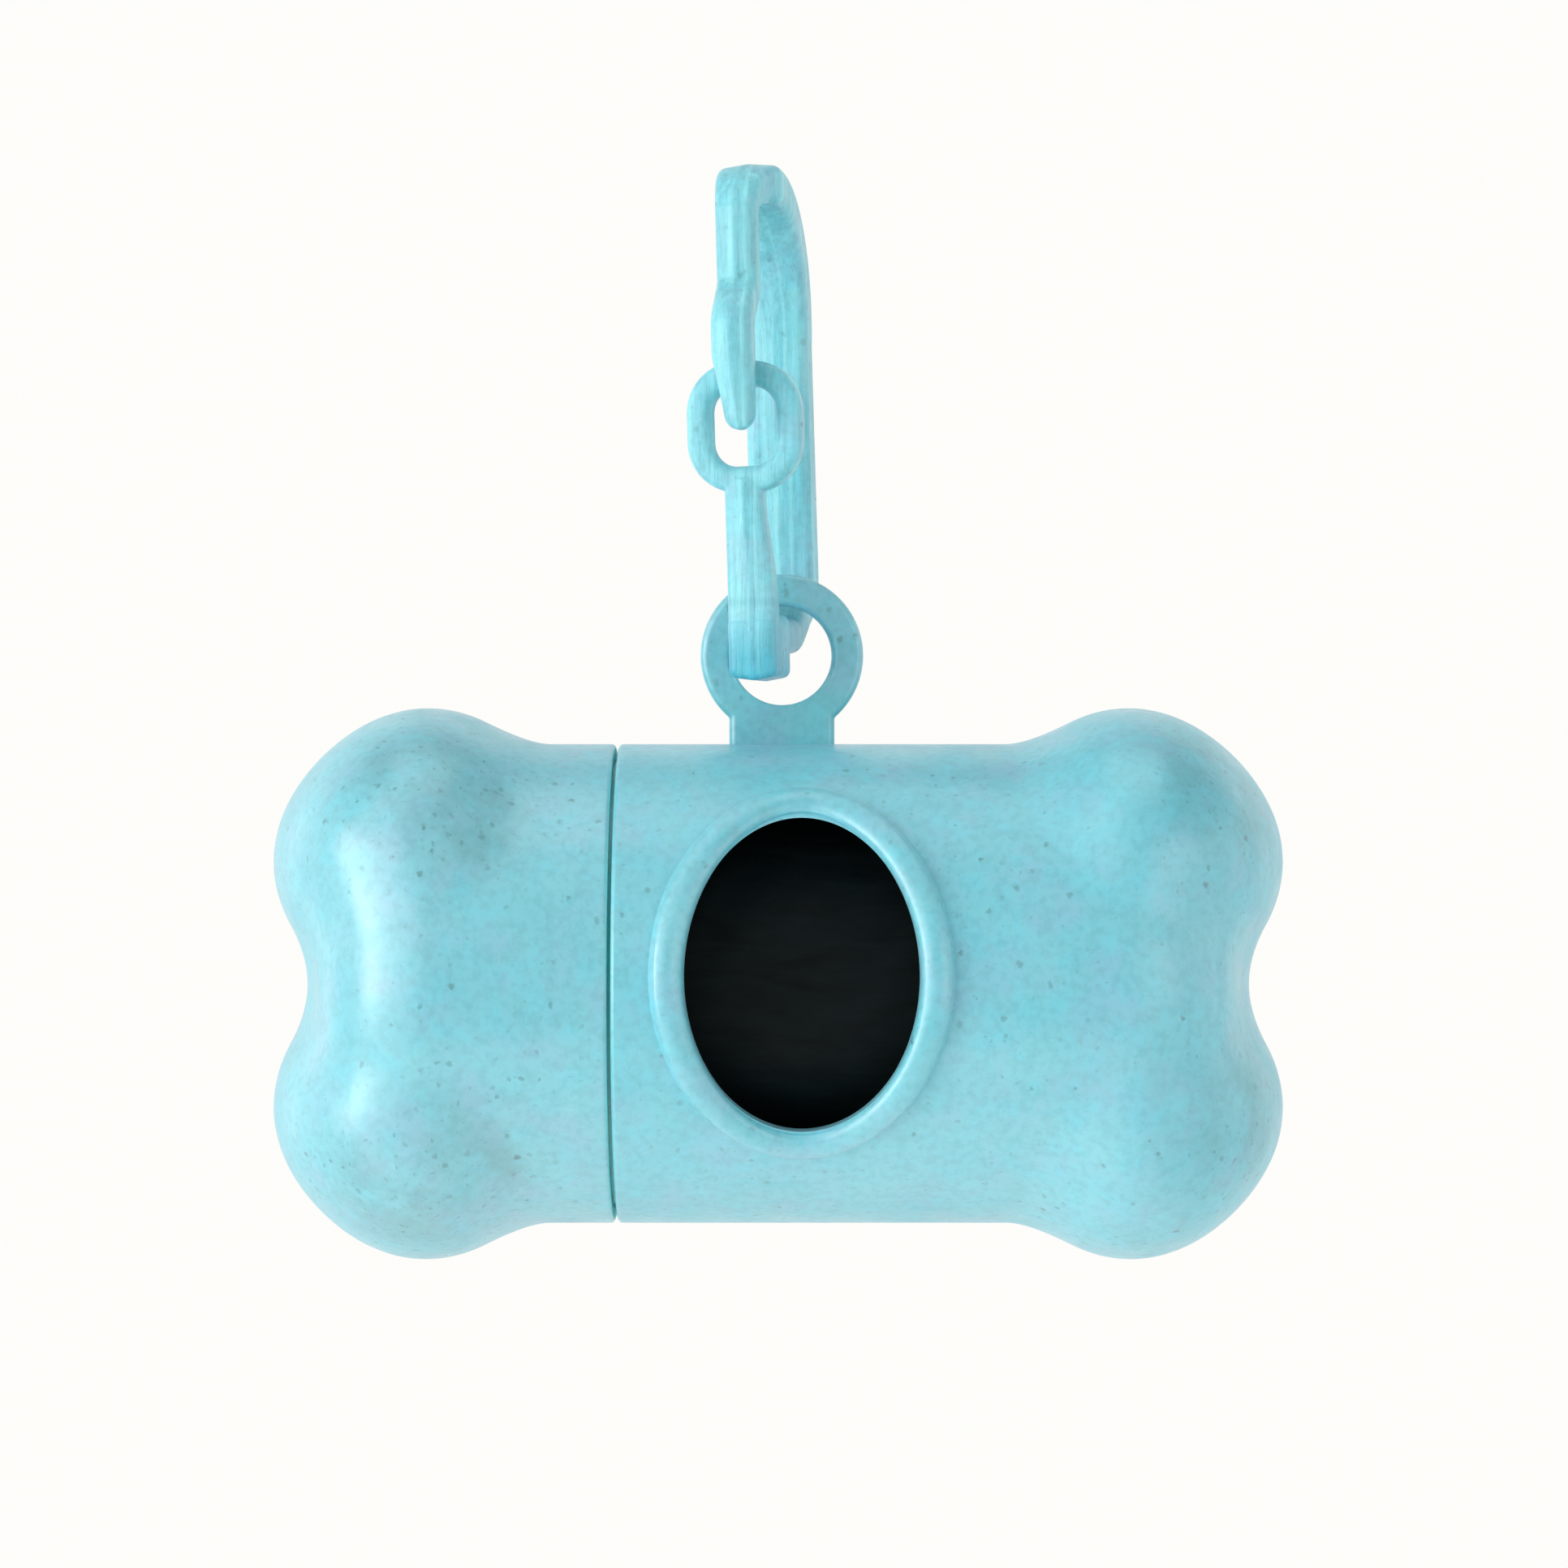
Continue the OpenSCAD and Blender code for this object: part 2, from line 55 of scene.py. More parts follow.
# ---- sizes, as in the part's source ----
# Only the rounding at the seam and the window's height and size differ, after the photograph
BARREL_R, WALL, END_X, END_ROUND = 20.0, 2.7, 37.4, 10.0
LOBE_X, LOBE_Z, LOBE_R, LOBE_DEPTH = 29.3, 10.2, 12.6, 18.0
LOBE_BULGE, VALLEY_R, NOTCH_R = 0.016, 1.8, 6.5
SEAM_X, SEAM_GAP, SEAM_ROUND = -13.3, 0.3, 0.36
CAP_WALL, NECK_GAP, NECK_LEN, NECK_LAND, THREAD_DROP = 1.4, 0.08, 9.0, 2.4, 0.42
WINDOW_X, WINDOW_Z, WINDOW_W, WINDOW_H, RIM_W = 1.9, 1.4, 18.9, 25.1, 2.7
RING_X, RING_LIFT, RING_HOLE_R, RING_BAND = 0.3, 7.4, 4.15, 2.65
RING_T, RING_ROUND, FOOT_W = 2.6, 0.6, 8.8
CLIP_YAW, CLIP_LEAN, CLIP_SHIFT, CLIP_TOP, CLIP_DEPTH = -13.0, -1.7, -0.95, 40.4, 14.0
SPINE_W, SPINE_SHIFT, SPINE_T, TOP_SHIFT = 5.5, -0.15, 3.3, 0.45
ARM_W, ARM_SHIFT, ARM_T = 3.4, -0.1, 2.8
NOSE_STEP, NOSE_Z, NOSE_END_W = 2.3, 18.2, 2.6
BAR_W, BAR_SHIFT, BAR_GAP, BAR_T, BAND_ROUND, CROWN = 3.6, 0.5, 0.7, 2.9, 0.9, 0.2
FOOT_R, GATE_T, GATE_W, GATE_TOP_W, GATE_SHIFT = 1.5, 2.2, 4.0, 3.2, -0.2
EYE_Z, EYE_W, EYE_H, EYE_BAR, EYE_BEND_R, NOSE_GAP = 18.7, 9.7, 10.8, 2.15, 3.1, 0.35
ROLL_GAP, ROLL_DROP, ROLL_LEN, CORE_R, CORE_WALL = 2.3, 0.3, 57.0, 6.2, 0.8

BORE_R = BARREL_R - WALL
END_WALL, INNER_ROUND = 5.9, 1.5
CHAMBER_X = END_X - END_WALL
ROUND_X, ROUND_R = END_X - END_ROUND, BARREL_R - END_ROUND
SOCKET_R = BARREL_R - CAP_WALL
LAND_R = SOCKET_R - NECK_GAP
THREAD_R = LAND_R - THREAD_DROP
CAP_RIM_X = SEAM_X - SEAM_GAP
NECK_X = SEAM_X - NECK_LEN
SOCKET_X = NECK_X - SEAM_GAP
RING_Z = BARREL_R + RING_LIFT
RAY_X = LOBE_X - LOBE_R + 2
ARM_Y, SPINE_Y = -CLIP_DEPTH / 2, CLIP_DEPTH / 2
TOP_Z = CLIP_TOP - SPINE_T / 2
CORNER_R, SWEEP_Z = 2.6, 12.5
SWEEP_Y = CLIP_DEPTH - CORNER_R
BAR_TOP = RING_HOLE_R - BAR_GAP - CROWN
BAR_Z = BAR_TOP - BAR_T / 2
BAR_BACK, BAR_FRONT, BAR_FALL = 2.2, -2.9, 0.36
TURN_R, TURN_RISE, TURN_SLOPE = 3.2, 5.0, 24
HEEL_BACK, HEEL_BOTTOM, HEEL_W, HEEL_SHIFT, HEEL_ROUND = -2.3, -2.0, 4.0, 0.3, 0.7
GATE_Y, GATE_Z = ARM_Y + 0.1, 3.9
HEEL_FRONT, HEEL_TOP, HEEL_LEDGE = GATE_Y - FOOT_R, GATE_Z - 0.6 * FOOT_R, GATE_Y + FOOT_R + 0.8
ROOT_T = 2 * FOOT_R - 0.5
EYE_Y = ARM_Y + 0.4
NOSE_Y = min(ARM_Y - NOSE_STEP, EYE_Y - GATE_T / 2 - NOSE_GAP - ARM_T / 2 - CROWN)
NOSE_TAPER, STEP_LOW, STEP_HIGH = 4.8, NOSE_Z + 8.4, NOSE_Z + 12.6
ROLL_R, ROLL_Z = BORE_R - ROLL_GAP, -ROLL_DROP
FILM_R = CORE_R + CORE_WALL

# ---- sizes and steps of the looks alone ----
AROUND, END_STEPS, RUN_STEP, WALL_STEP = 224, 88, 0.9, 1.2
# Break of the edges inside the joint between cap and neck
EDGE = 0.15
LEAF_ROUND, EYE_ROUND, HEEL_BACK_ROUND = 0.7, 0.75, 0.5
HOOK_VOXEL, FINE_VOXEL = 0.13, 0.1
THREAD_X, PITCH, TURNS, THREAD_HALF_W, THREAD_START = NECK_X + 1.2, 3.0, 1.45, 0.55, 0.3
FILM_LIP, FILM_LAYERS, FILM_AROUND, FILM_ALONG = 0.22, 44, 240, 90


def cosd(a):
    return math.cos(math.radians(a))


def sind(a):
    return math.sin(math.radians(a))


def between(a, b, t):
    return a + (b - a) * t


def ease(t):
    return t * t * (3 - 2 * t)


HANG_Y = ARM_Y + CORNER_R
HANG_SIDE = -HANG_Y * sind(CLIP_YAW)
HANG_UP = CLIP_TOP - SPINE_T
HANG = np.array([
    RING_X + CLIP_SHIFT + HANG_UP * sind(CLIP_LEAN) + HANG_SIDE * cosd(CLIP_LEAN),
    HANG_Y * cosd(CLIP_YAW),
    RING_Z + HANG_UP * cosd(CLIP_LEAN) - HANG_SIDE * sind(CLIP_LEAN),
])
CLIP_TURN = np.array(
    Matrix.Rotation(math.radians(CLIP_LEAN), 3, "Y")
    @ Matrix.Rotation(math.radians(CLIP_YAW), 3, "Z"))


def row(points):
    """Points of the bone's frame in the row frame, in metres."""
    return (np.asarray(points, float) - HANG) * MM


def clip_row(points):
    """Points of the clip's frame in the row frame, in metres."""
    turned = np.asarray(points, float) @ CLIP_TURN.T
    return row(turned + np.array([RING_X + CLIP_SHIFT, 0, RING_Z]))


# ---- mesh helpers ----
def new_object(name, verts, faces):
    mesh = bpy.data.meshes.new(name)
    mesh.from_pydata([tuple(v) for v in verts], [], [tuple(f) for f in faces])
    mesh.validate()
    mesh.update()
    obj = bpy.data.objects.new(name, mesh)
    bpy.context.collection.objects.link(obj)
    mesh.shade_smooth()
    return obj


def outward(obj):
    """Turns all faces of a closed mesh outwards."""
    bm = bmesh.new()
    bm.from_mesh(obj.data)
    bmesh.ops.recalc_face_normals(bm, faces=bm.faces)
    bm.to_mesh(obj.data)
    bm.free()
    return obj


def settle(obj):
    """Applies the object's modifiers."""
    final = obj.evaluated_get(bpy.context.evaluated_depsgraph_get())
    mesh = bpy.data.meshes.new_from_object(final)
    obj.modifiers.clear()
    old = obj.data
    obj.data = mesh
    bpy.data.meshes.remove(old)
    return obj


def creased(obj, angle):
    """Smooth shading, with hard edges only over that angle."""
    obj.data.shade_smooth()
    obj.data.set_sharp_from_angle(angle=math.radians(angle))
    return obj


def fuse(name, parts, voxel, soften):
    """One closed skin round overlapping closed parts, with its creases a little softened."""
    bm = bmesh.new()
    for part in parts:
        bm.from_mesh(part.data)
        bpy.data.objects.remove(part)
    mesh = bpy.data.meshes.new(name)
    bm.to_mesh(mesh)
    bm.free()
    obj = bpy.data.objects.new(name, mesh)
    bpy.context.collection.objects.link(obj)
    remesh = obj.modifiers.new("skin", "REMESH")
    remesh.mode = "VOXEL"
    remesh.voxel_size = voxel * MM
    smooth = obj.modifiers.new("soften", "SMOOTH")
    smooth.factor = 0.5
    smooth.iterations = soften
    settle(obj)
    obj.data.shade_smooth()
    return obj


def ring_faces(rings, around, closed=False, capped=True):
    """Quads between rings of points; the ends are joined up, capped by flat faces or open."""
    faces = []
    for i in range(rings if closed else rings - 1):
        m = (i + 1) % rings
        for j in range(around):
            k = (j + 1) % around
            faces.append((i * around + j, m * around + j, m * around + k, i * around + k))
    if capped and not closed:
        faces.append(tuple(range(around)))
        faces.append(tuple((rings - 1) * around + j for j in reversed(range(around))))
    return faces


def poled(rings, first, last):
    """Mesh of rings that closes in one point at each end."""
    around = len(rings[0])
    verts = np.concatenate(rings + [np.array([first, last])])
    faces = ring_faces(len(rings), around, capped=False)
    a, b = len(verts) - 2, len(verts) - 1
    end = (len(rings) - 1) * around
    for j in range(around):
        k = (j + 1) % around
        faces.append((a, j, k))
        faces.append((b, end + k, end + j))
    return verts, faces


def arc(centre, rx, ry, start, stop, steps):
    a = np.radians(np.linspace(start, stop, steps + 1))
    return np.stack([centre[0] + rx * np.cos(a), centre[1] + ry * np.sin(a)], axis=1)


def curve_between(a, b, c, d, t):
    """Points from b to c of the smooth curve that passes through all four."""
    bend, twist = 2 * a - 5 * b + 4 * c - d, 3 * b - a - 3 * c + d
    return 0.5 * (2 * b + (c - a) * t + bend * t ** 2 + twist * t ** 3)


def oval(x, z, half_x, half_z, y, around):
    """Ring of points round a middle, in the plane at y."""
    a = np.linspace(0, TAU, around, endpoint=False)
    return np.stack([x + half_x * np.cos(a), np.full(around, y), z + half_z * np.sin(a)], axis=1)


def bored(obj, x, z, half_x, half_z, reach, around):
    """Cuts an oval hole through an object, along Y from one end of the reach to the other."""
    rings = [oval(x, z, half_x, half_z, y, around) for y in reach]
    cutter = outward(new_object("cutter", row(np.concatenate(rings)), ring_faces(2, around)))
    cut = obj.modifiers.new("hole", "BOOLEAN")
    cut.operation = "DIFFERENCE"
    cut.solver = "EXACT"
    cut.object = cutter
    settle(obj)
    bpy.data.objects.remove(cutter)
    return obj


def closed_spline(points, steps):
    """Smooth closed curve through points."""
    p = np.asarray(points, float)
    t = np.linspace(0, 1, steps, endpoint=False)[:, None]
    out = []
    for i in range(len(p)):
        a, b, c, d = p[i - 1], p[i], p[(i + 1) % len(p)], p[(i + 2) % len(p)]
        out.append(curve_between(a, b, c, d, t))
    return np.concatenate(out)


# ---- the bone's surface ----
# Each gap is a point's distance from a surface in mm, negative inside
def join_gap(a, b, r):
    """Gap from two surfaces joined by a valley of radius r."""
    return np.maximum(r, np.minimum(a, b)) - np.hypot(np.maximum(r - a, 0), np.maximum(r - b, 0))


def lobe_gap(p, side):
    """Gap from one lobe, whose outline stands out a little along X and Z."""
    q = p - np.array([LOBE_X, 0, side * LOBE_Z])
    flat = q[..., 0] ** 2 + q[..., 2] ** 2
    slant = (q[..., 0] * q[..., 2]) ** 2 / np.maximum(flat ** 2, 0.001)
    r = LOBE_R * (1 + LOBE_BULGE * (1 - 8 * slant))
    size = np.stack([r, np.full_like(r, LOBE_DEPTH), r], axis=-1)
    k = np.linalg.norm(q / size, axis=-1)
    s = np.linalg.norm(q / size ** 2, axis=-1)
    return k * (k - 1) / np.maximum(s, 0.001)


def bone_gap(p):
    """Gap from the barrel with its rounded ends and the two lobes of its +X end."""
    along = np.abs(p[..., 0]) - ROUND_X
    out = np.hypot(p[..., 1], p[..., 2]) - ROUND_R
    barrel = np.hypot(np.maximum(along, 0), np.maximum(out, 0)) - END_ROUND
    barrel = barrel + np.minimum(np.maximum(along, out), 0)
    return join_gap(barrel, join_gap(lobe_gap(p, 1), lobe_gap(p, -1), NOTCH_R), VALLEY_R)


def cast(start, ways):
    """Points where rays from a point inside meet the bone's surface, 5 to 40 mm away."""
    near, far = np.full(len(ways), 5.0), np.full(len(ways), 40.0)
    for _ in range(30):
        mid = (near + far) / 2
        inside = bone_gap(start + ways * mid[:, None]) < 0
        near, far = np.where(inside, mid, near), np.where(inside, far, mid)
    return start + ways * near[:, None]


def circle_ring(r, x):
    a = np.linspace(0, TAU, AROUND, endpoint=False)
    return np.stack([np.full(AROUND, x), r * np.cos(a), r * np.sin(a)], axis=1)


def end_rings():
    """Rings of the lobed end from its tip back to the ray centre, and the tip itself."""
    a = np.linspace(0, TAU, AROUND, endpoint=False)
    start = np.array([RAY_X, 0, 0])
    rings = []
    for i in range(1, END_STEPS + 1):
        polar = math.pi / 2 * i / END_STEPS
        ahead, aside = np.full(AROUND, math.cos(polar)), math.sin(polar)
        rings.append(cast(start, np.stack([ahead, aside * np.cos(a), aside * np.sin(a)], axis=1)))
    tip = cast(start, np.array([[1.0, 0, 0]]))[0]
    return rings, tip


def profile_rings(profile):
    return [circle_ring(r, x) for r, x in profile]


def spaced(profile, step):
    """The same [radius, x] profile with points at most a step apart."""
    out = [profile[0]]
    for a, b in zip(profile[:-1], profile[1:]):
        p, way = np.asarray(a), np.asarray(b) - np.asarray(a)
        n = max(1, int(math.ceil(np.hypot(*way) / step)))
        out += [tuple(p + way * k / n) for k in range(1, n + 1)]
    return out


def chamber(mouth_x):
    """Inner profile from the mouth to the rounded end."""
    profile = [(BORE_R, mouth_x)]
    middle = (BORE_R - INNER_ROUND, CHAMBER_X - INNER_ROUND)
    profile += [tuple(p) for p in arc(middle, INNER_ROUND, INNER_ROUND, 0, 90, 8)]
    profile += [(1.0, CHAMBER_X)]
    return spaced(profile, 1.5)


def moulding(name, seam_x, run_end, joint, mouth_x, mirror=1):
    """One end of the bone's shell: lobes, barrel, rounded seam edge, joint and chamber."""
    rings, tip = end_rings()
    run = spaced([(BARREL_R, RAY_X - 0.8), (BARREL_R, run_end)], RUN_STEP)
    middle = (BARREL_R - SEAM_ROUND, seam_x + SEAM_ROUND)
    edge = [tuple(p) for p in arc(middle, SEAM_ROUND, SEAM_ROUND, 0, -90, 7)]
    rings += profile_rings(run + edge + spaced(joint, WALL_STEP))
    rings += profile_rings(chamber(mouth_x)[1:])
    verts, faces = poled(rings, tip, (CHAMBER_X, 0, 0))
    return outward(new_object(name, row(verts * np.array([mirror, 1, 1])), faces))


def body_mesh():
    """Closed end and barrel, with the neck and the window's opening."""
    neck = [
        (LAND_R, SEAM_X), (LAND_R, SEAM_X - NECK_LAND + THREAD_DROP),
        (THREAD_R, SEAM_X - NECK_LAND), (THREAD_R, NECK_X + SEAM_ROUND),
        (THREAD_R - EDGE, NECK_X + EDGE), (THREAD_R - SEAM_ROUND, NECK_X), (BORE_R, NECK_X),
    ]
    shell = moulding("body_shell_skin", SEAM_X, SEAM_X + SEAM_ROUND + 0.4, neck, NECK_X)
    reach = (-BARREL_R - 4, -BARREL_R + 12)
    return creased(bored(shell, WINDOW_X, WINDOW_Z, WINDOW_W / 2, WINDOW_H / 2, reach, 160), 40)


def cap_mesh():
    """The other end, made as a closed end and mirrored, with the socket for the neck."""
    rim = -CAP_RIM_X
    socket = [(SOCKET_R + 0.8 * EDGE, rim), (SOCKET_R, rim + EDGE)]
    socket += [(SOCKET_R, -SOCKET_X), (BORE_R, -SOCKET_X)]
    run_end = rim + SEAM_ROUND + 0.2
    return creased(moulding("end_cap_skin", rim, run_end, socket, -SOCKET_X, mirror=-1), 40)


def on_barrel(x, z):
    return np.stack([x, -np.sqrt(BARREL_R ** 2 - z ** 2), z], axis=-1)


# Section of the window's rim: distance outwards from its middle line, and height over the barrel
RIM_SECTION = [
    (1.72, -0.35), (1.58, -0.06), (1.49, 0.1), (1.38, 0.32), (1.18, 0.6), (0.9, 0.8),
    (0.5, 0.91), (0.05, 0.945), (-0.4, 0.88), (-0.8, 0.71), (-1.08, 0.44), (-1.21, 0.1),
    (-1.25, -0.4), (-1.25, -1.1), (-1.24, -2.1), (-0.9, -2.35), (-0.4, -1.7), (0.6, -0.9),
    (1.6, -0.6),
]
# The middle line lies this much inside the middle of the rim's width
RIM_INSET = 0.15
# Share by which the rim is narrower at its lowest point
LOW_RIM_LESS = 0.3


def rim_mesh():
    """Rounded rim round the window, with a soft foot outside and a lining inside."""
    around = 200
    a = np.linspace(0, TAU, around, endpoint=False)
    half_x, half_z = (WINDOW_W + RIM_W) / 2 - RIM_INSET, (WINDOW_H + RIM_W) / 2 - RIM_INSET
    c = on_barrel(WINDOW_X + half_x * np.cos(a), WINDOW_Z + half_z * np.sin(a))
    out = c * np.array([0, 1, 1]) / BARREL_R
    run = np.roll(c, -1, axis=0) - np.roll(c, 1, axis=0)
    run /= np.linalg.norm(run, axis=1)[:, None]
    across = np.cross(run, out)
    section = closed_spline(RIM_SECTION, 3)
    high, deep = np.maximum(section[:, 1:], 0), np.minimum(section[:, 1:], 0)
    back = np.array([0, -1, 0])
    low = np.maximum(-np.sin(a), 0)[:, None, None] ** 2
    flat = section[None, :, :1] * np.where(section[:, :1] > 0, 1 - LOW_RIM_LESS * low, 1.0)
    verts = (c[:, None] + across[:, None] * flat + out[:, None] * high + back * deep).reshape(-1, 3)
    faces = ring_faces(around, len(section), closed=True)
    return outward(new_object("window_rim", row(verts), faces))


def rounded_outline(w, t, r, steps, crown=0.0):
    """Section of a band, with a low ridge along the middle of both faces."""
    r = min(r, w / 2 - 0.02, t / 2 - 0.02)
    out = []
    for q, (sx, sy) in enumerate(((1, 1), (-1, 1), (-1, -1), (1, -1))):
        corner = (sx * (w / 2 - r), sy * (t / 2 - r))
        out += [tuple(p) for p in arc(corner, r, r, 90 * q, 90 * q + 90, steps)]
        if crown and q in (0, 2):
            h = t / 2 + crown * min(1, t / 2)
            out += [(sx * 0.12, sy * (h - 0.02)), (0, sy * h), (-sx * 0.12, sy * (h - 0.02))]
    return np.array(out)


def ring_mesh():
    """Flat ring and its foot, as one skin with rounded edges."""
    section = rounded_outline(RING_BAND, RING_T, RING_ROUND, 7)
    a = np.linspace(0, TAU, 144, endpoint=False)
    way = np.stack([np.cos(a), np.zeros_like(a), np.sin(a)], axis=1)
    r = RING_HOLE_R + RING_BAND / 2 + section[:, 0]
    middle, deep = np.array([RING_X, 0, RING_Z]), np.array([0, 1, 0])
    verts = (middle + way[:, None] * r[None, :, None] + deep * section[None, :, 1:]).reshape(-1, 3)
    loop = outward(new_object("loop", row(verts), ring_faces(len(a), len(section), closed=True)))
    section = rounded_outline(FOOT_W, RING_T, RING_ROUND, 7)
    flat = section + np.array([RING_X, 0])
    ends = BARREL_R - WALL / 2, RING_Z - 0.4 * RING_HOLE_R
    rings = [np.column_stack([flat, np.full(len(flat), z)]) for z in ends]
    foot = outward(new_object("foot", row(np.concatenate(rings)), ring_faces(2, len(flat))))
    bored(foot, RING_X, RING_Z, RING_HOLE_R, RING_HOLE_R, (-4.0, 4.0), 96)
    return fuse("ring", [loop, foot], FINE_VOXEL, 1)


# ---- clip ----
def smooth_path(stations, step):
    """Stations [y, z, width, thickness, shift] resampled evenly on a smooth curve."""
    p = np.asarray(stations, float)
    ext = np.vstack([2 * p[0] - p[1], p, 2 * p[-1] - p[-2]])
    out = []
    for i in range(1, len(ext) - 2):
        a, b, c, d = ext[i - 1], ext[i], ext[i + 1], ext[i + 2]
        n = max(1, int(math.ceil(np.hypot(*(c - b)[:2]) / step)))
        t = np.linspace(0, 1, n, endpoint=False)[:, None]
        out.append(curve_between(a, b, c, d, t))
    return np.vstack(out + [p[-1:]])


def band_mesh(name, stations, r):
    """Crowned band with edges of radius r, swept through stations."""
    path = smooth_path(stations, 0.35)
    run = np.gradient(path[:, :2], axis=0)
    run /= np.linalg.norm(run, axis=1)[:, None]
    rings = []
    for s, (ry, rz) in zip(path, run):
        q = rounded_outline(s[2], s[3], r, 6, CROWN)
        rings.append(np.stack([q[:, 0] + s[4], s[0] + q[:, 1] * rz, s[1] - q[:, 1] * ry], axis=1))
    verts = clip_row(np.concatenate(rings))
    return outward(new_object(name, verts, ring_faces(len(rings), len(rings[0]))))


def nose_stations():
    """Round tip, taper and the step back to the arm."""
    side = ARM_SHIFT + ARM_W / 2
    out = []
    for i in range(8):
        a = 6 + 12 * i
        out.append((NOSE_Y, NOSE_Z + NOSE_END_W / 2 * (1 - cosd(a)), NOSE_END_W * sind(a),
                    ARM_T * (0.3 + 0.4 * sind(a)), side - NOSE_END_W / 2))
    for t in (0.25, 0.5, 0.75, 1):
        w = between(NOSE_END_W, ARM_W, t)
        out.append((NOSE_Y, NOSE_Z + NOSE_END_W / 2 + NOSE_TAPER * t, w,
                    ARM_T * (0.7 + 0.3 * t), side - w / 2))
    for i in range(12):
        t = i / 11
        out.append((between(NOSE_Y, ARM_Y, ease(t)), between(STEP_LOW, STEP_HIGH, t),
                    ARM_W, ARM_T, ARM_SHIFT))
    return out


def top_stations():
    """Tight corner over the arm, then the long sweep down to the spine."""
    out = []
    for y, z in arc((ARM_Y + CORNER_R, TOP_Z - CORNER_R), CORNER_R, CORNER_R, 180, 90, 10):
        t = (y - ARM_Y) / CORNER_R
        out.append((y, z, between(ARM_W, SPINE_W, t), between(ARM_T, SPINE_T, t),
                    between(ARM_SHIFT, TOP_SHIFT, t)))
    for i in range(1, 29):
        a = 90 - 90 * i / 28
        out.append((ARM_Y + CORNER_R + SWEEP_Y * cosd(a), TOP_Z - SWEEP_Z * (1 - sind(a)),
                    SPINE_W, SPINE_T, between(SPINE_SHIFT, TOP_SHIFT, sind(a))))
    return out


def low_stations():
    """Straight spine, the turn at its foot and the bar through the ring."""
    turn_z, spine_end = BAR_Z + TURN_RISE, TOP_Z - SWEEP_Z
    out = []
    for i in range(1, 7):
        out.append((SPINE_Y, between(turn_z, spine_end, 1 - i / 6),
                    SPINE_W, SPINE_T, SPINE_SHIFT))
    for a in range(6, 90 - TURN_SLOPE + 1, 6):
        t = a / 90
        out.append((SPINE_Y - TURN_R * (1 - cosd(a)), turn_z - TURN_R * sind(a),
                    between(SPINE_W, BAR_W, t), SPINE_T, between(SPINE_SHIFT, BAR_SHIFT, t)))
    for i in range(4):
        t = i / 3
        out.append((between(BAR_BACK, BAR_FRONT, t), BAR_Z - BAR_FALL * t,
                    BAR_W, BAR_T, BAR_SHIFT))
    return out


def heel_station(y, inset):
    """Block under the leaf; its top slopes up to the bar behind the leaf's root."""
    rise = min(max((y - GATE_Y) / (HEEL_LEDGE - GATE_Y), 0), 1)
    top = between(HEEL_TOP, BAR_TOP, rise)
    height = top - HEEL_BOTTOM - 2 * inset
    return (y, (top + HEEL_BOTTOM) / 2, HEEL_W - 2 * inset, height, HEEL_SHIFT)


def heel_stations():
    out = []
    for a in range(0, 91, 15):
        y = HEEL_FRONT + HEEL_ROUND * (1 - cosd(a))
        out.append(heel_station(y, HEEL_ROUND * (1 - sind(a))))
    out += [heel_station(HEEL_FRONT + 2 * HEEL_ROUND, 0), heel_station(HEEL_BACK - 1, 0)]
    for a in range(0, 91, 30):
        y = HEEL_BACK - HEEL_BACK_ROUND * (1 - sind(a))
        out.append(heel_station(y, HEEL_BACK_ROUND * (1 - cosd(a))))
    return out


def hook_mesh():
    band = band_mesh("band", nose_stations() + top_stations() + low_stations(), BAND_ROUND)
    heel = band_mesh("heel", heel_stations(), HEEL_ROUND)
    return fuse("clip_hook_skin", [band, heel], HOOK_VOXEL, 2)


def gate_mesh():
    """Leaf and eye in one skin; its root is sunk in the heel, where it bends."""
    top = EYE_Z - EYE_H / 2 + EYE_BAR / 2
    stations = [(GATE_Y, HEEL_TOP - 1.2, GATE_W, ROOT_T + 0.2, HEEL_SHIFT)]
    for i in range(13):
        t = i / 12
        bend = ease(t)
        stations.append((between(GATE_Y, EYE_Y, bend), between(GATE_Z, top, t),
                         between(GATE_W, GATE_TOP_W, bend), between(GATE_T, ROOT_T, (1 - t) ** 2),
                         between(HEEL_SHIFT, GATE_SHIFT, bend)))
    leaf = band_mesh("leaf", stations, LEAF_ROUND)
    half_w, half_h = (EYE_W - EYE_BAR) / 2, (EYE_H - EYE_BAR) / 2
    path = []
    for q, (sx, sz) in enumerate(((1, 1), (-1, 1), (-1, -1), (1, -1))):
        for a in np.linspace(90 * q, 90 * q + 90, 13):
            path.append((sx * (half_w - EYE_BEND_R) + EYE_BEND_R * cosd(a),
                         sz * (half_h - EYE_BEND_R) + EYE_BEND_R * sind(a), a))
    section = rounded_outline(EYE_BAR, GATE_T, EYE_ROUND, 6)
    verts = [(x + o * cosd(a), EYE_Y + y, EYE_Z + z + o * sind(a))
             for x, z, a in path for o, y in section]
    faces = ring_faces(len(path), len(section), closed=True)
    eye = outward(new_object("eye", clip_row(verts), faces))
    return fuse("clip_gate_skin", [leaf, eye], FINE_VOXEL, 3)


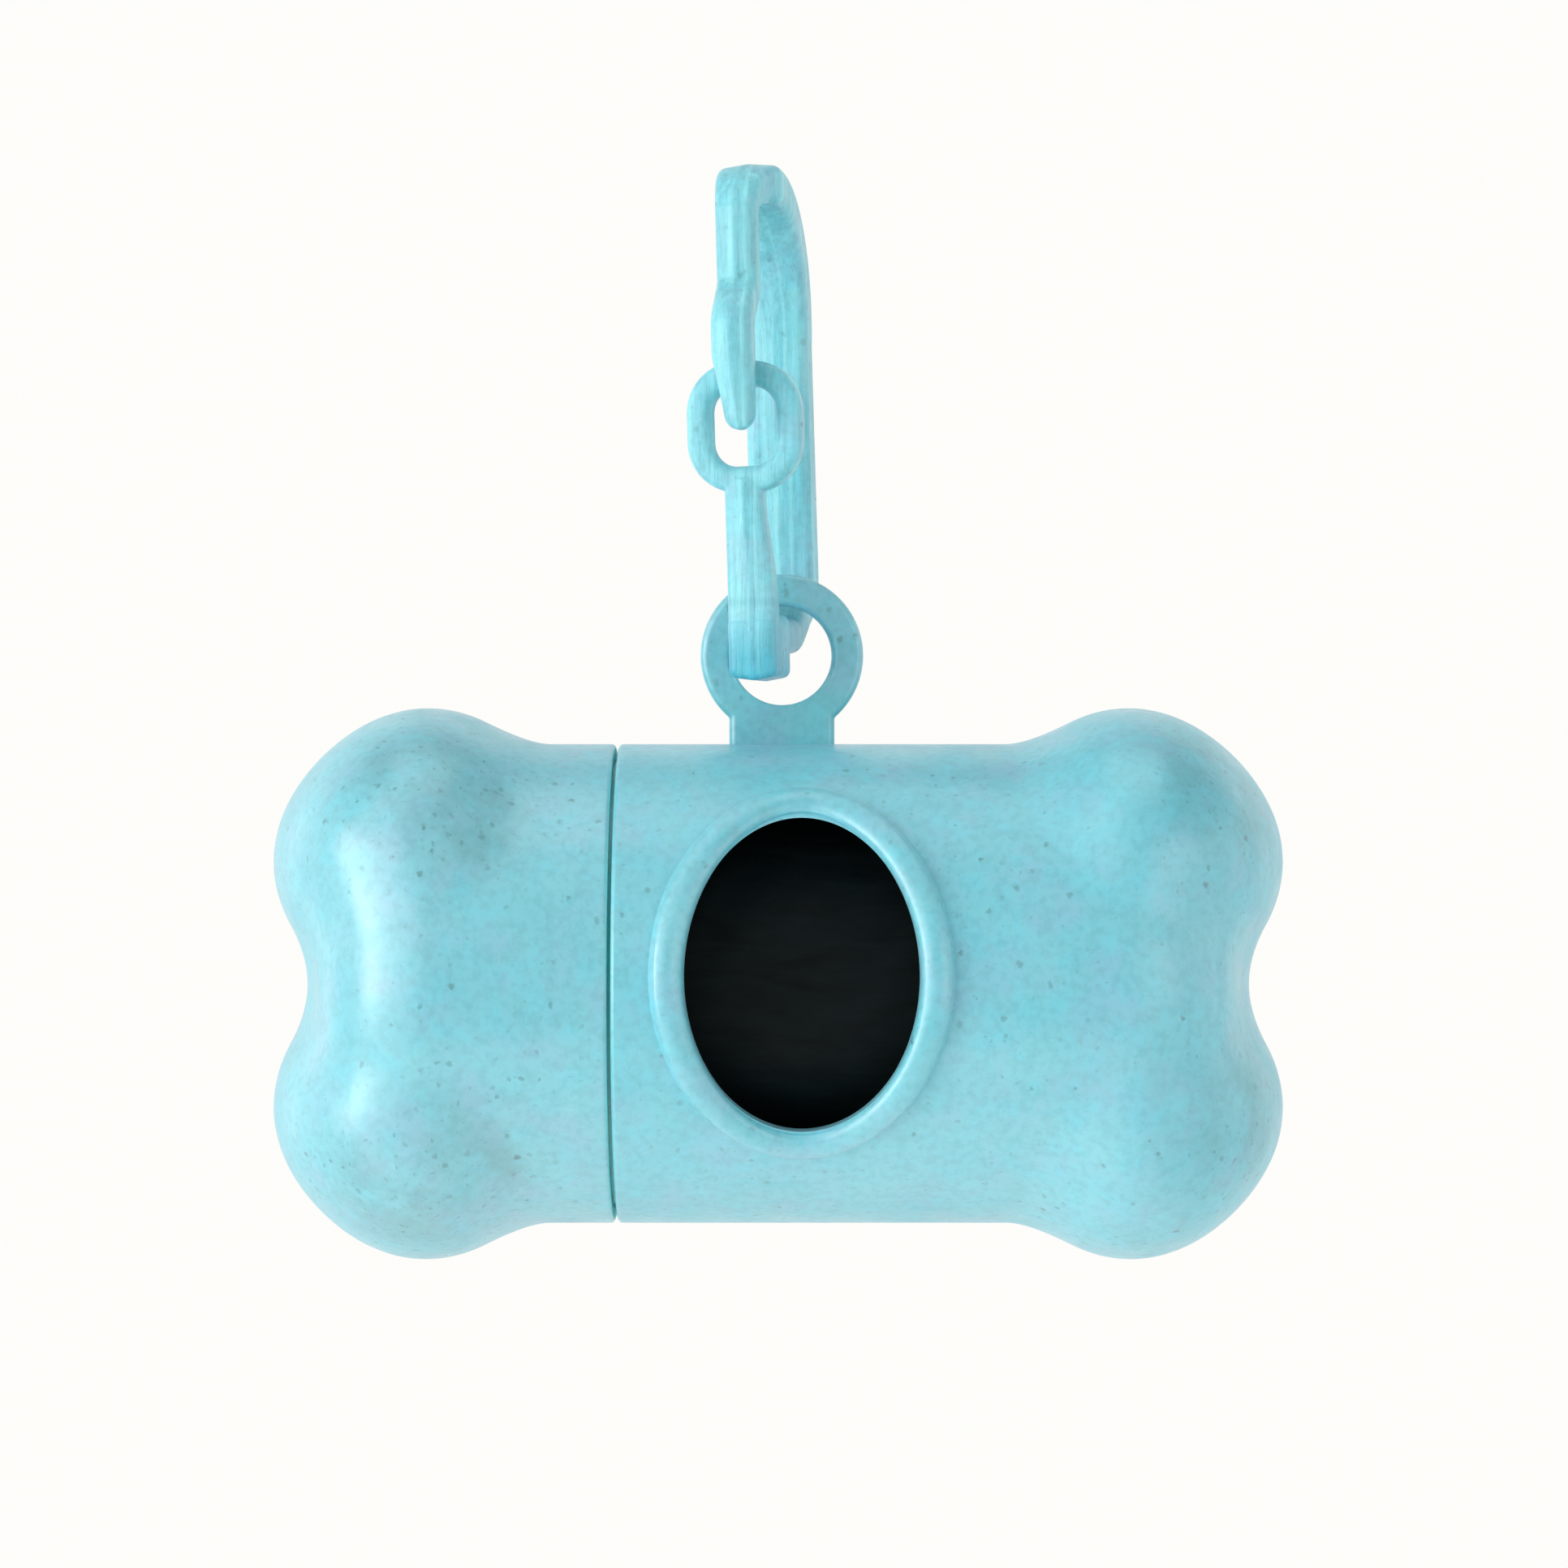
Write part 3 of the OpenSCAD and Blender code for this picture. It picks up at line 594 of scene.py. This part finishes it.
# ---- threads ----
def thread(name, r0, r1, start_x, turns, mirror=1):
    """Low helical ridge from radius r0 to r1, fading out at both ends."""
    steps = int(90 * turns)
    flank = ((r0, -1), (r1, -0.45), (r1, 0.45), (r0, 1))
    verts = []
    for i in range(steps + 1):
        t = i / steps
        a = TAU * turns * t + THREAD_START
        x = start_x + PITCH * turns * t
        grow = max(min(1, t * turns * 6, (1 - t) * turns * 6), 0.02)
        for r, aside in flank:
            full = between(r0, r, ease(grow))
            verts.append((mirror * (x + THREAD_HALF_W * aside),
                          full * math.cos(a), full * math.sin(a)))
    obj = outward(new_object(name, row(verts), ring_faces(steps + 1, 4)))
    return creased(obj, 30)


# ---- roll of bags ----
def film_mesh():
    """Wound film: one spiral turn ends in a free edge, and the ends show the layers."""
    rng = np.random.default_rng(7)
    a = np.linspace(0, TAU, FILM_AROUND, endpoint=False)
    lip = FILM_LIP * (1 - a / TAU)
    half = ROLL_LEN / 2
    depth = np.cumsum(rng.normal(0, 0.06, FILM_LAYERS))
    depth = np.clip(depth - depth.mean(), -0.22, 0.22)
    depth = depth + 0.12 * np.where(np.arange(FILM_LAYERS) % 2, 1, -1)
    layer_r = np.linspace(FILM_R, ROLL_R - 0.35, FILM_LAYERS)
    layer_t = layer_r[1] - layer_r[0]

    def ring(radii, x):
        return np.stack([x, radii * np.cos(a), radii * np.sin(a) + ROLL_Z], axis=1)

    def end(side):
        """Rings of one end, from the core outwards."""
        out = []
        for i, r in enumerate(layer_r):
            wave = 0.05 * np.sin(3 * a + i * 0.7) + 0.04 * np.sin(7 * a + i * 1.9)
            out.append(ring(r + layer_t * a / TAU, side * (half - 0.3 + depth[i] * 0.6 + wave)))
        return out

    outside = []
    for x in np.linspace(-half + 0.25, half - 0.25, FILM_ALONG):
        crease = 0.04 * np.sin(x * 0.9 + 2 * np.sin(a * 2)) * np.sin(5 * a + 0.4 * x)
        crease = crease + 0.024 * np.sin(11 * a + 1.3 * x)
        outside.append(ring(ROLL_R - 0.12 - lip + crease, np.full(FILM_AROUND, x)))
    rings = end(-1) + outside + end(1)[::-1]
    faces = ring_faces(len(rings), FILM_AROUND, closed=True)
    return creased(outward(new_object("bag_film_roll", row(np.concatenate(rings)), faces)), 50)


# ---- materials ----
# Main and deeper colour of each material
BODY_TINTS = (0.24, 0.68, 0.77), (0.165, 0.61, 0.71)
CAP_TINTS = (0.25, 0.67, 0.755), (0.175, 0.6, 0.695)
RING_TINTS = (0.265, 0.68, 0.75), (0.19, 0.61, 0.69)
CLIP_TINTS = (0.3, 0.76, 0.85), (0.215, 0.68, 0.77)
FILM_TINTS = (0.002, 0.004, 0.0045), (0.005, 0.009, 0.0095)
BOARD_TINTS, FLECK_TINT = ((0.44, 0.32, 0.2), (0.27, 0.18, 0.1)), (0.12, 0.08, 0.05)
# The mottling's two hues, as shares of a plastic's main colour
LILAC, CYAN = (1.25, 0.86, 0.97), (0.72, 1.04, 1.08)
# Each kind of speck: cells per metre, radius in its cell, share of cells, strength and colour
DUST = 1350, 0.34, 0.8, 0.36, (0.1, 0.27, 0.29)
FIBRE = 420, 0.2, 0.3, 0.25, (0.16, 0.3, 0.27)
SMALL = 850, 0.29, 1.0, 0.52, (0.07, 0.19, 0.2)
DARK = 560, 0.22, 0.85, 0.6, (0.06, 0.15, 0.16)
BLOTCH_TINT = (0.16, 0.36, 0.38)
# How far the specks' outlines are pulled about
WOBBLE = 0.55
PLASTIC_GLOSS = {
    "IOR": 1.58, "Specular IOR Level": 0.85,
    "Sheen Weight": 0.12, "Sheen Roughness": 0.4, "Sheen Tint": (0.75, 0.82, 1.0, 1),
}
# Place of the pale parting line across the clip, and how far it wavers
PARTING_X, WAVER = 0.95, 0.6
# Painted shade round the clip's heel, by the ring: the clip is darker and stronger in colour there
HEEL_PAINTED_SHADE = (0.37, 0.7, 0.8)
# A faint darker line where the leaf bends
ROOT_SHADE = (0.72, 0.82, 0.84)
# Painted shade at the ring's foot, where it meets the barrel: darker and deeper in colour than the
# body
FOOT_PAINTED_SHADE = (0.7, 0.87, 0.87)
# Painted light inside the narrow seam: a lighter, clearer colour, as of plastic that glows a little
SEAM_PAINTED_GLOW = (1.05, 1.4, 1.24)
# Where husk specks gather, on the cap and on the body
CAP_SPOTS = [(-30, -12, 15.5), (-25, -14, 14), (-30.5, -12, -15), (-25, -14, -12)]
BODY_SPOTS = [(35, -11, 15), (36, -11, -9.5)]


def material(name):
    mat = bpy.data.materials.new(name)
    mat.use_nodes = True
    tree = mat.node_tree
    shader = tree.nodes["Principled BSDF"]
    return mat, tree, shader


def add(tree, kind, links=None, **values):
    """New node; each value goes to the input of that name, or else to the property."""
    node = tree.nodes.new(kind)
    for key, value in values.items():
        if key in node.inputs:
            node.inputs[key].default_value = value
        else:
            setattr(node, key, value)
    for key, source in (links or {}).items():
        tree.links.new(source, node.inputs[key])
    return node


def scaled(tree, vector, scale, turn=(0, 0, 0)):
    node = add(tree, "ShaderNodeMapping", {"Vector": vector}, vector_type="POINT")
    node.inputs["Scale"].default_value = scale
    node.inputs["Rotation"].default_value = turn
    return node.outputs["Vector"]


def mix(tree, factor, a, b, blend="MIX"):
    node = tree.nodes.new("ShaderNodeMix")
    node.data_type = "RGBA"
    node.blend_type = blend
    ins = {"f": node.inputs[0], "a": node.inputs[6], "b": node.inputs[7]}
    for key, value in (("f", factor), ("a", a), ("b", b)):
        if isinstance(value, bpy.types.NodeSocket):
            tree.links.new(value, ins[key])
        elif key == "f":
            ins[key].default_value = value
        else:
            ins[key].default_value = (*value, 1)
    return node.outputs[2]


def math_node(tree, operation, a, b=None, c=None):
    node = tree.nodes.new("ShaderNodeMath")
    node.operation = operation
    for i, value in enumerate((a, b, c)):
        if value is None:
            continue
        if isinstance(value, bpy.types.NodeSocket):
            tree.links.new(value, node.inputs[i])
        else:
            node.inputs[i].default_value = value
    return node.outputs[0]


def ramp(tree, value, low, high, out_low=0.0, out_high=1.0):
    node = tree.nodes.new("ShaderNodeMapRange")
    tree.links.new(value, node.inputs["Value"])
    node.inputs["From Min"].default_value = low
    node.inputs["From Max"].default_value = high
    node.inputs["To Min"].default_value = out_low
    node.inputs["To Max"].default_value = out_high
    return node.outputs["Result"]


def noise(tree, vector, scale, detail=2.0, rough=0.5, distortion=0.0):
    node = add(tree, "ShaderNodeTexNoise", {"Vector": vector})
    node.inputs["Scale"].default_value = scale
    node.inputs["Detail"].default_value = detail
    node.inputs["Roughness"].default_value = rough
    node.inputs["Distortion"].default_value = distortion
    return node.outputs["Fac"]


def relief(tree, shader, height, strength, depth):
    """Fine relief from a height value, over any the shader has; the depth is in mm."""
    bump = add(tree, "ShaderNodeBump", {"Height": height}, Strength=strength, Distance=depth * MM)
    for link in shader.inputs["Normal"].links:
        tree.links.new(link.from_socket, bump.inputs["Normal"])
    tree.links.new(bump.outputs["Normal"], shader.inputs["Normal"])


def specks(tree, vector, scale, radius, share, patch):
    """Soft round specks in some cells of a Voronoi pattern, in more where the patch is high."""
    cells = add(tree, "ShaderNodeTexVoronoi", {"Vector": vector})
    cells.inputs["Scale"].default_value = scale
    pick = add(tree, "ShaderNodeSeparateColor", {"Color": cells.outputs["Color"]})
    limit = math_node(tree, "MULTIPLY", patch, share)
    chosen = math_node(tree, "LESS_THAN", pick.outputs["Red"], limit)
    size = ramp(tree, pick.outputs["Green"], 0, 1, radius * 0.45, radius)
    edge = math_node(tree, "DIVIDE", cells.outputs["Distance"], size)
    dot = ramp(tree, edge, 0.5, 1.0, 1.0, 0.0)
    strength = ramp(tree, pick.outputs["Blue"], 0, 1, 0.35, 1.0)
    return math_node(tree, "MULTIPLY", math_node(tree, "MULTIPLY", chosen, dot), strength)


def near(tree, coords, spot, inner, outer):
    """1 within the inner distance of a spot of the bone's frame, fading to 0 at the outer."""
    away = add(tree, "ShaderNodeVectorMath", {0: coords}, operation="DISTANCE")
    away.inputs[1].default_value = tuple(row([spot])[0])
    return ramp(tree, away.outputs["Value"], inner * MM, outer * MM, 1.0, 0.0)


def mottled(tree, here, tint, deep):
    """Colour that drifts between two tints, with lilac and cyan clouds and a dark grain."""
    cloud = noise(tree, here, 45, 3, 0.55, 0.4)
    colour = mix(tree, ramp(tree, cloud, 0.35, 0.68), tint, deep)
    lilac_cloud = noise(tree, here, 230, 3, 0.6)
    cyan_cloud = noise(tree, scaled(tree, here, (1, 1.2, 0.9)), 410, 3, 0.6)
    for cloud, start, hue in ((lilac_cloud, 0.46, LILAC), (cyan_cloud, 0.48, CYAN)):
        share = ramp(tree, cloud, start, 0.68, 0.0, 0.5)
        colour = mix(tree, share, colour, [c * k for c, k in zip(tint, hue)])
    grain = ramp(tree, noise(tree, here, 1300, 2, 0.6), 0.42, 0.7, 0.0, 0.28)
    return mix(tree, grain, colour, [c * 0.62 for c in deep])


def with_husks(tree, here, coords, spots, colour):
    """Dust, fibres and specks over a colour, thicker in patches and round the spots."""
    patch = ramp(tree, noise(tree, here, 70, 2, 0.6), 0.42, 0.66, 0.12, 0.36)
    for spot in spots:
        patch = math_node(tree, "MAXIMUM", patch, near(tree, coords, spot, 4, 11))
    blotch = ramp(tree, noise(tree, here, 240, 3, 0.6), 0.4, 0.62, 0.08, 0.42)
    shade = math_node(tree, "MULTIPLY", ramp(tree, patch, 0.45, 1.0), blotch)
    colour = mix(tree, shade, colour, BLOTCH_TINT)
    ragged = add(tree, "ShaderNodeTexNoise", {"Vector": here}, Scale=2600)
    pulled = add(tree, "ShaderNodeVectorMath", {0: ragged.outputs["Color"], 2: here},
                 operation="MULTIPLY_ADD")
    pulled.inputs[1].default_value = (WOBBLE * MM,) * 3
    uneven = pulled.outputs[0]
    flattened = scaled(tree, uneven, (1, 1.3, 0.8))
    drawn_out = scaled(tree, uneven, (2.2, 2.2, 0.45), (0.4, 0.9, 0.3))
    layers = (uneven, DUST), (drawn_out, FIBRE), (flattened, SMALL), (uneven, DARK)
    for place, (cells, radius, share, strength, ink) in layers:
        dots = specks(tree, place, cells, radius, share, patch)
        colour = mix(tree, math_node(tree, "MULTIPLY", dots, strength), colour, ink)
    return colour


def speckled_plastic(name, tint, deep, seed, spots=()):
    """Satin plastic with a mottling and husk specks; the seed moves its pattern."""
    mat, tree, shader = material(name)
    coords = tree.nodes.new("ShaderNodeTexCoord").outputs["Object"]
    shifted = add(tree, "ShaderNodeVectorMath", {0: coords}, operation="ADD")
    shifted.inputs[1].default_value = (seed * 0.031, seed * 0.017, seed * 0.023)
    here = shifted.outputs[0]
    colour = with_husks(tree, here, coords, spots, mottled(tree, here, tint, deep))
    tree.links.new(colour, shader.inputs["Base Color"])
    rough = ramp(tree, noise(tree, here, 260, 3, 0.6), 0.3, 0.7, 0.26, 0.4)
    tree.links.new(rough, shader.inputs["Roughness"])
    swell = math_node(tree, "MULTIPLY", noise(tree, here, 160, 2, 0.5), 1.5)
    height = math_node(tree, "ADD", noise(tree, here, 1500, 2, 0.5), swell)
    relief(tree, shader, height, 0.22, 0.12)
    for key, value in PLASTIC_GLOSS.items():
        shader.inputs[key].default_value = value
    return mat


def clip_place(tree, coords, way):
    """Position in the clip's own frame along one direction, in metres from the ring's centre."""
    start = add(tree, "ShaderNodeVectorMath", {0: coords}, operation="SUBTRACT")
    start.inputs[1].default_value = tuple(clip_row([[0, 0, 0]])[0])
    along = add(tree, "ShaderNodeVectorMath", {0: start.outputs[0]}, operation="DOT_PRODUCT")
    along.inputs[1].default_value = tuple(CLIP_TURN @ np.array(way, float))
    return along.outputs["Value"]


def shaded(mat, place, hue):
    """Multiplies the colour by a hue where the place value is 1."""
    tree = mat.node_tree
    socket = tree.nodes["Principled BSDF"].inputs["Base Color"]
    tree.links.new(mix(tree, place, socket.links[0].from_socket, hue, "MULTIPLY"), socket)


def seam_material(name, tint, deep, seed, spots):
    """The plastic of body and cap, with painted light inside the seam between them: a lighter,
    clearer colour.
    """
    mat = speckled_plastic(name, tint, deep, seed, spots)
    tree = mat.node_tree
    coords = tree.nodes.new("ShaderNodeTexCoord").outputs["Object"]
    x = add(tree, "ShaderNodeSeparateXYZ", {"Vector": coords}).outputs["X"]
    middle = float(row([[SEAM_X - SEAM_GAP / 2, 0, 0]])[0][0])
    off = math_node(tree, "ABSOLUTE", math_node(tree, "SUBTRACT", x, middle))
    half = SEAM_GAP / 2 * MM
    # Painted light: the seam's inside is made lighter and clearer in colour
    shaded(mat, ramp(tree, off, half, half + 0.1 * MM, 1.0, 0.0), SEAM_PAINTED_GLOW)
    return mat


def ring_material(name, tint, deep, seed):
    """The body's plastic, with painted shade, deeper in colour, towards the ring's foot."""
    mat = speckled_plastic(name, tint, deep, seed)
    coords = mat.node_tree.nodes.new("ShaderNodeTexCoord").outputs["Object"]
    # Painted shade where the foot meets the barrel
    shaded(mat, near(mat.node_tree, coords, (RING_X, 0, BARREL_R), 3, 8), FOOT_PAINTED_SHADE)
    return mat


def clip_material(name, tint, deep, seed):
    """The same plastic on the thin clip: streaks along the mould and one pale parting line."""
    mat = speckled_plastic(name, tint, deep, seed)
    tree = mat.node_tree
    shader = tree.nodes["Principled BSDF"]
    coords = tree.nodes.new("ShaderNodeTexCoord").outputs["Object"]
    streak = noise(tree, scaled(tree, coords, (1, 1, 0.09)), 2300, 4, 0.65, 0.3)
    broad = noise(tree, scaled(tree, coords, (1, 1, 0.06)), 900, 2, 0.5, 0.2)
    waver = noise(tree, scaled(tree, coords, (1, 1, 0.4)), 260, 2)
    line_at = math_node(tree, "MULTIPLY_ADD", waver, WAVER * MM, (PARTING_X - WAVER / 2) * MM)
    aside = math_node(tree, "SUBTRACT", clip_place(tree, coords, (1, 0, 0)), line_at)
    line = ramp(tree, math_node(tree, "ABSOLUTE", aside), 0.08 * MM, 0.22 * MM, 1.0, 0.0)
    colour = shader.inputs["Base Color"].links[0].from_socket
    for share, hue in (
        (ramp(tree, streak, 0.45, 0.66, 0.0, 0.36), [c * 0.6 for c in deep]),
        (ramp(tree, broad, 0.5, 0.64, 0.0, 0.35), [min(1, c * 1.3) for c in tint]),
        (math_node(tree, "MULTIPLY", line, 0.22), [min(1, c * 1.45) for c in tint]),
    ):
        colour = mix(tree, share, colour, hue)
    tree.links.new(colour, shader.inputs["Base Color"])
    up = clip_place(tree, coords, (0, 0, 1))
    # Painted shade: darker and stronger in colour towards the heel, by the ring
    shaded(mat, ramp(tree, up, -0.4 * MM, 3.8 * MM, 1.0, 0.0), HEEL_PAINTED_SHADE)
    root = math_node(tree, "ABSOLUTE", math_node(tree, "SUBTRACT", up, (GATE_Z + 0.3) * MM))
    shaded(mat, ramp(tree, root, 0.15 * MM, 0.55 * MM, 0.6, 0.0), ROOT_SHADE)
    height = math_node(tree, "ADD", streak, math_node(tree, "MULTIPLY", line, 0.3))
    relief(tree, shader, height, 0.5, 0.16)
    shader.inputs["Specular IOR Level"].default_value = 0.4
    return mat


def film_material():
    """Black film, drawn out along the roll and softly creased."""
    mat, tree, shader = material("black_film_finish")
    coords = tree.nodes.new("ShaderNodeTexCoord").outputs["Object"]
    folds = noise(tree, scaled(tree, coords, (0.25, 1, 1)), 520, 4, 0.6, 0.8)
    colour = mix(tree, ramp(tree, folds, 0.3, 0.7), *FILM_TINTS)
    tree.links.new(colour, shader.inputs["Base Color"])
    rough = ramp(tree, noise(tree, coords, 300, 2), 0.3, 0.7, 0.5, 0.68)
    tree.links.new(rough, shader.inputs["Roughness"])
    relief(tree, shader, folds, 0.35, 0.3)
    shader.inputs["Specular IOR Level"].default_value = 0.1
    return mat


def board_material():
    """Grey-brown board with pulp and a few dark flecks."""
    mat, tree, shader = material("core_board_finish")
    coords = tree.nodes.new("ShaderNodeTexCoord").outputs["Object"]
    pulp = noise(tree, scaled(tree, coords, (1, 3, 3)), 700, 5, 0.65)
    colour = mix(tree, ramp(tree, pulp, 0.3, 0.72), *BOARD_TINTS)
    patch = ramp(tree, noise(tree, coords, 90), 0.3, 0.7, 0.4, 1.0)
    fleck = specks(tree, coords, 900, 0.3, 0.2, patch)
    colour = mix(tree, math_node(tree, "MULTIPLY", fleck, 0.5), colour, FLECK_TINT)
    tree.links.new(colour, shader.inputs["Base Color"])
    shader.inputs["Roughness"].default_value = 0.86
    relief(tree, shader, pulp, 0.4, 0.15)
    return mat


def paint(obj, mat):
    obj.data.materials.clear()
    obj.data.materials.append(mat)


# ---- building ----
body_plastic = seam_material("speckled_plastic_finish", *BODY_TINTS, 1, BODY_SPOTS)
ring_plastic = ring_material("ring_plastic_finish", *RING_TINTS, 3)
cap_plastic = seam_material("speckled_cap_finish", *CAP_TINTS, 5, CAP_SPOTS)
clip_plastic = clip_material("clip_plastic_finish", *CLIP_TINTS, 9)
black_film = film_material()
core_board = board_material()

body = body_mesh()
rim = rim_mesh()
ring = ring_mesh()
cap = cap_mesh()
hook = hook_mesh()
gate = gate_mesh()
film = film_mesh()
neck_thread = thread("neck_thread", THREAD_R - 0.1, LAND_R - 0.06, THREAD_X, TURNS)
cap_start = -(THREAD_X + PITCH / 2 + PITCH * TURNS)
cap_thread = thread(
    "cap_thread", SOCKET_R + 0.1, THREAD_R + 0.14, cap_start, TURNS - 0.15, mirror=-1)

for piece, mat, slot_name in (
    (body, body_plastic, "speckled_plastic"), (rim, body_plastic, "speckled_plastic"),
    (ring, ring_plastic, "speckled_plastic"), (neck_thread, body_plastic, "speckled_plastic"),
    (cap, cap_plastic, "speckled_plastic_cap"), (cap_thread, cap_plastic, "speckled_plastic_cap"),
    (hook, clip_plastic, "clip_plastic"), (gate, clip_plastic, "clip_plastic"),
    (film, black_film, "black_film"),
):
    paint(piece, mat)

for piece in (body, rim, ring, neck_thread):
    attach(piece, "bone")
for piece in (cap, cap_thread):
    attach(piece, "cap")
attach(hook, "clip")
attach(film, "bag_roll")
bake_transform(gate)
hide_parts("body_shell")
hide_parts("hang_ring")
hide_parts("end_cap")
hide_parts("clip_hook")
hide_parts("clip_gate")
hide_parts("bag_film")
paint(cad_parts["roll_core"], core_board)

# ---- stage, in metres ----
FLOOR_Z = row([[0, 0, 0]])[0][2] - 0.55
FLOOR_FRONT, FLOOR_BACK, SWEEP_R, WALL_TOP, HALF_WIDTH = -1.2, 0.7, 0.45, 1.9, 1.8
STAGE_TINTS = (0.93, 0.925, 0.905), (0.95, 0.945, 0.925)
# Near white that the camera sees of the floor and backdrop
BACKDROP = (0.985, 0.978, 0.955)
WORLD_TINT, WORLD_LIGHT, WORLD_SHEEN = (0.95, 0.97, 0.98), 0.375, 0.3
# Each light: name, azimuth, elevation, width and height, power, and distance if not LIGHT_AWAY
LIGHT_AWAY = 0.75
LIGHTS = [
    ("key_left", -60, 5, (0.35, 0.5), 1.64),
    ("key_near", -35, 10, (0.35, 0.5), 0.91),
    ("side_near", -90, 5, (0.4, 0.6), 0.15),
    ("side_left", -115, 8, (0.5, 0.6), 0.77),
    ("strip_high", -77, 20, (0.12, 0.3), 0.27),
    ("strip_left", -68, 5, (0.1, 0.5), 0.75),
    ("key_high", -50, 45, (0.4, 0.4), 0.42),
    ("key_low", -50, -35, (0.4, 0.4), 0.35, 0.7),
    ("fill_near", 35, 5, (0.4, 0.5), 0.73),
    ("fill_right", 60, 5, (0.35, 0.5), 0.4),
    ("side_right", 90, 5, (0.4, 0.6), 0.67),
    ("rim_right", 115, 8, (0.5, 0.6), 0.5),
    ("top", 0, 88, (0.6, 0.6), 1.0),
    ("low_front", 0, -30, (0.6, 0.3), 0.16),
    ("below", 0, -88, (0.6, 0.6), 0.38, 0.5),
]


def white_stage():
    """Seamless pale floor and backdrop; the camera and gloss see them as near white."""
    sweep = arc((FLOOR_BACK, SWEEP_R), SWEEP_R, SWEEP_R, -90, 0, 15)
    profile = [(FLOOR_FRONT, 0.0), *sweep, (FLOOR_BACK + SWEEP_R, WALL_TOP)]
    verts, faces = [], []
    for i, (y, z) in enumerate(profile):
        verts += [(-HALF_WIDTH, y, FLOOR_Z + z), (HALF_WIDTH, y, FLOOR_Z + z)]
        if i:
            faces.append((2 * i - 2, 2 * i - 1, 2 * i + 1, 2 * i))
    obj = new_object("stage_sweep", verts, faces)
    mat, tree, shader = material("stage_white")
    grain = noise(tree, tree.nodes.new("ShaderNodeTexCoord").outputs["Object"], 30, 2)
    pale = mix(tree, ramp(tree, grain, 0.3, 0.7), *STAGE_TINTS)
    tree.links.new(pale, shader.inputs["Base Color"])
    shader.inputs["Roughness"].default_value = 0.9
    rays = tree.nodes.new("ShaderNodeLightPath").outputs
    seen = math_node(tree, "MAXIMUM", rays["Is Camera Ray"], rays["Is Glossy Ray"])
    glow = add(tree, "ShaderNodeEmission", Color=(*BACKDROP, 1), Strength=1.0)
    both = tree.nodes.new("ShaderNodeMixShader")
    tree.links.new(seen, both.inputs[0])
    tree.links.new(shader.outputs[0], both.inputs[1])
    tree.links.new(glow.outputs[0], both.inputs[2])
    tree.links.new(both.outputs[0], tree.nodes["Material Output"].inputs["Surface"])
    paint(obj, mat)


def soft_box(name, azimuth, elevation, size, power, away=LIGHT_AWAY):
    """Area light that faces the bone; azimuth 0 is the camera's side and 90 is the right."""
    light = bpy.data.lights.new(name, "AREA")
    light.shape = "RECTANGLE"
    light.size, light.size_y = size
    light.energy = power
    obj = bpy.data.objects.new(name, light)
    bpy.context.collection.objects.link(obj)
    flat = cosd(elevation)
    way = Vector((sind(azimuth) * flat, -cosd(azimuth) * flat, sind(elevation)))
    obj.location = Vector(row([[0, 0, 0]])[0]) + way * away
    obj.rotation_euler = (-way).to_track_quat("-Z", "Y").to_euler()


def studio_world():
    """Weak even light, which the camera sees as the white of the backdrop."""
    world = bpy.data.worlds.new("studio")
    bpy.context.scene.world = world
    world.use_nodes = True
    tree = world.node_tree
    back = tree.nodes["Background"]
    light = tree.nodes.new("ShaderNodeLightPath")
    seen = light.outputs["Is Camera Ray"]
    tree.links.new(mix(tree, seen, WORLD_TINT, BACKDROP), back.inputs["Color"])
    strength = ramp(tree, light.outputs["Is Glossy Ray"], 0, 1, WORLD_LIGHT, WORLD_SHEEN)
    tree.links.new(math_node(tree, "MAXIMUM", strength, seen), back.inputs["Strength"])


white_stage()
for light in LIGHTS:
    soft_box(*light)
studio_world()

# ---- camera ----
# The photograph's width and middle, and where the barrel's middle is in it, in pixels
PHOTO_PX, MID_PX, BARREL_PX = 1932, 966.0, (959.0, 1211.0)
PX_MM, DISTANCE, SENSOR_MM = 0.068, 360.0, 36
camera_data = bpy.data.cameras.new("camera")
camera_data.sensor_width = SENSOR_MM
camera_data.lens = SENSOR_MM * DISTANCE / (PHOTO_PX * PX_MM)
camera_data.clip_start, camera_data.clip_end = 0.01, 10
camera = bpy.data.objects.new("camera", camera_data)
bpy.context.collection.objects.link(camera)
eye_at = ((MID_PX - BARREL_PX[0]) * PX_MM, -DISTANCE, (BARREL_PX[1] - MID_PX) * PX_MM)
camera.location = Vector(row([eye_at])[0])
camera.rotation_euler = (math.pi / 2, 0, 0)
bpy.context.scene.camera = camera
bpy.context.scene.view_settings.view_transform = "Standard"
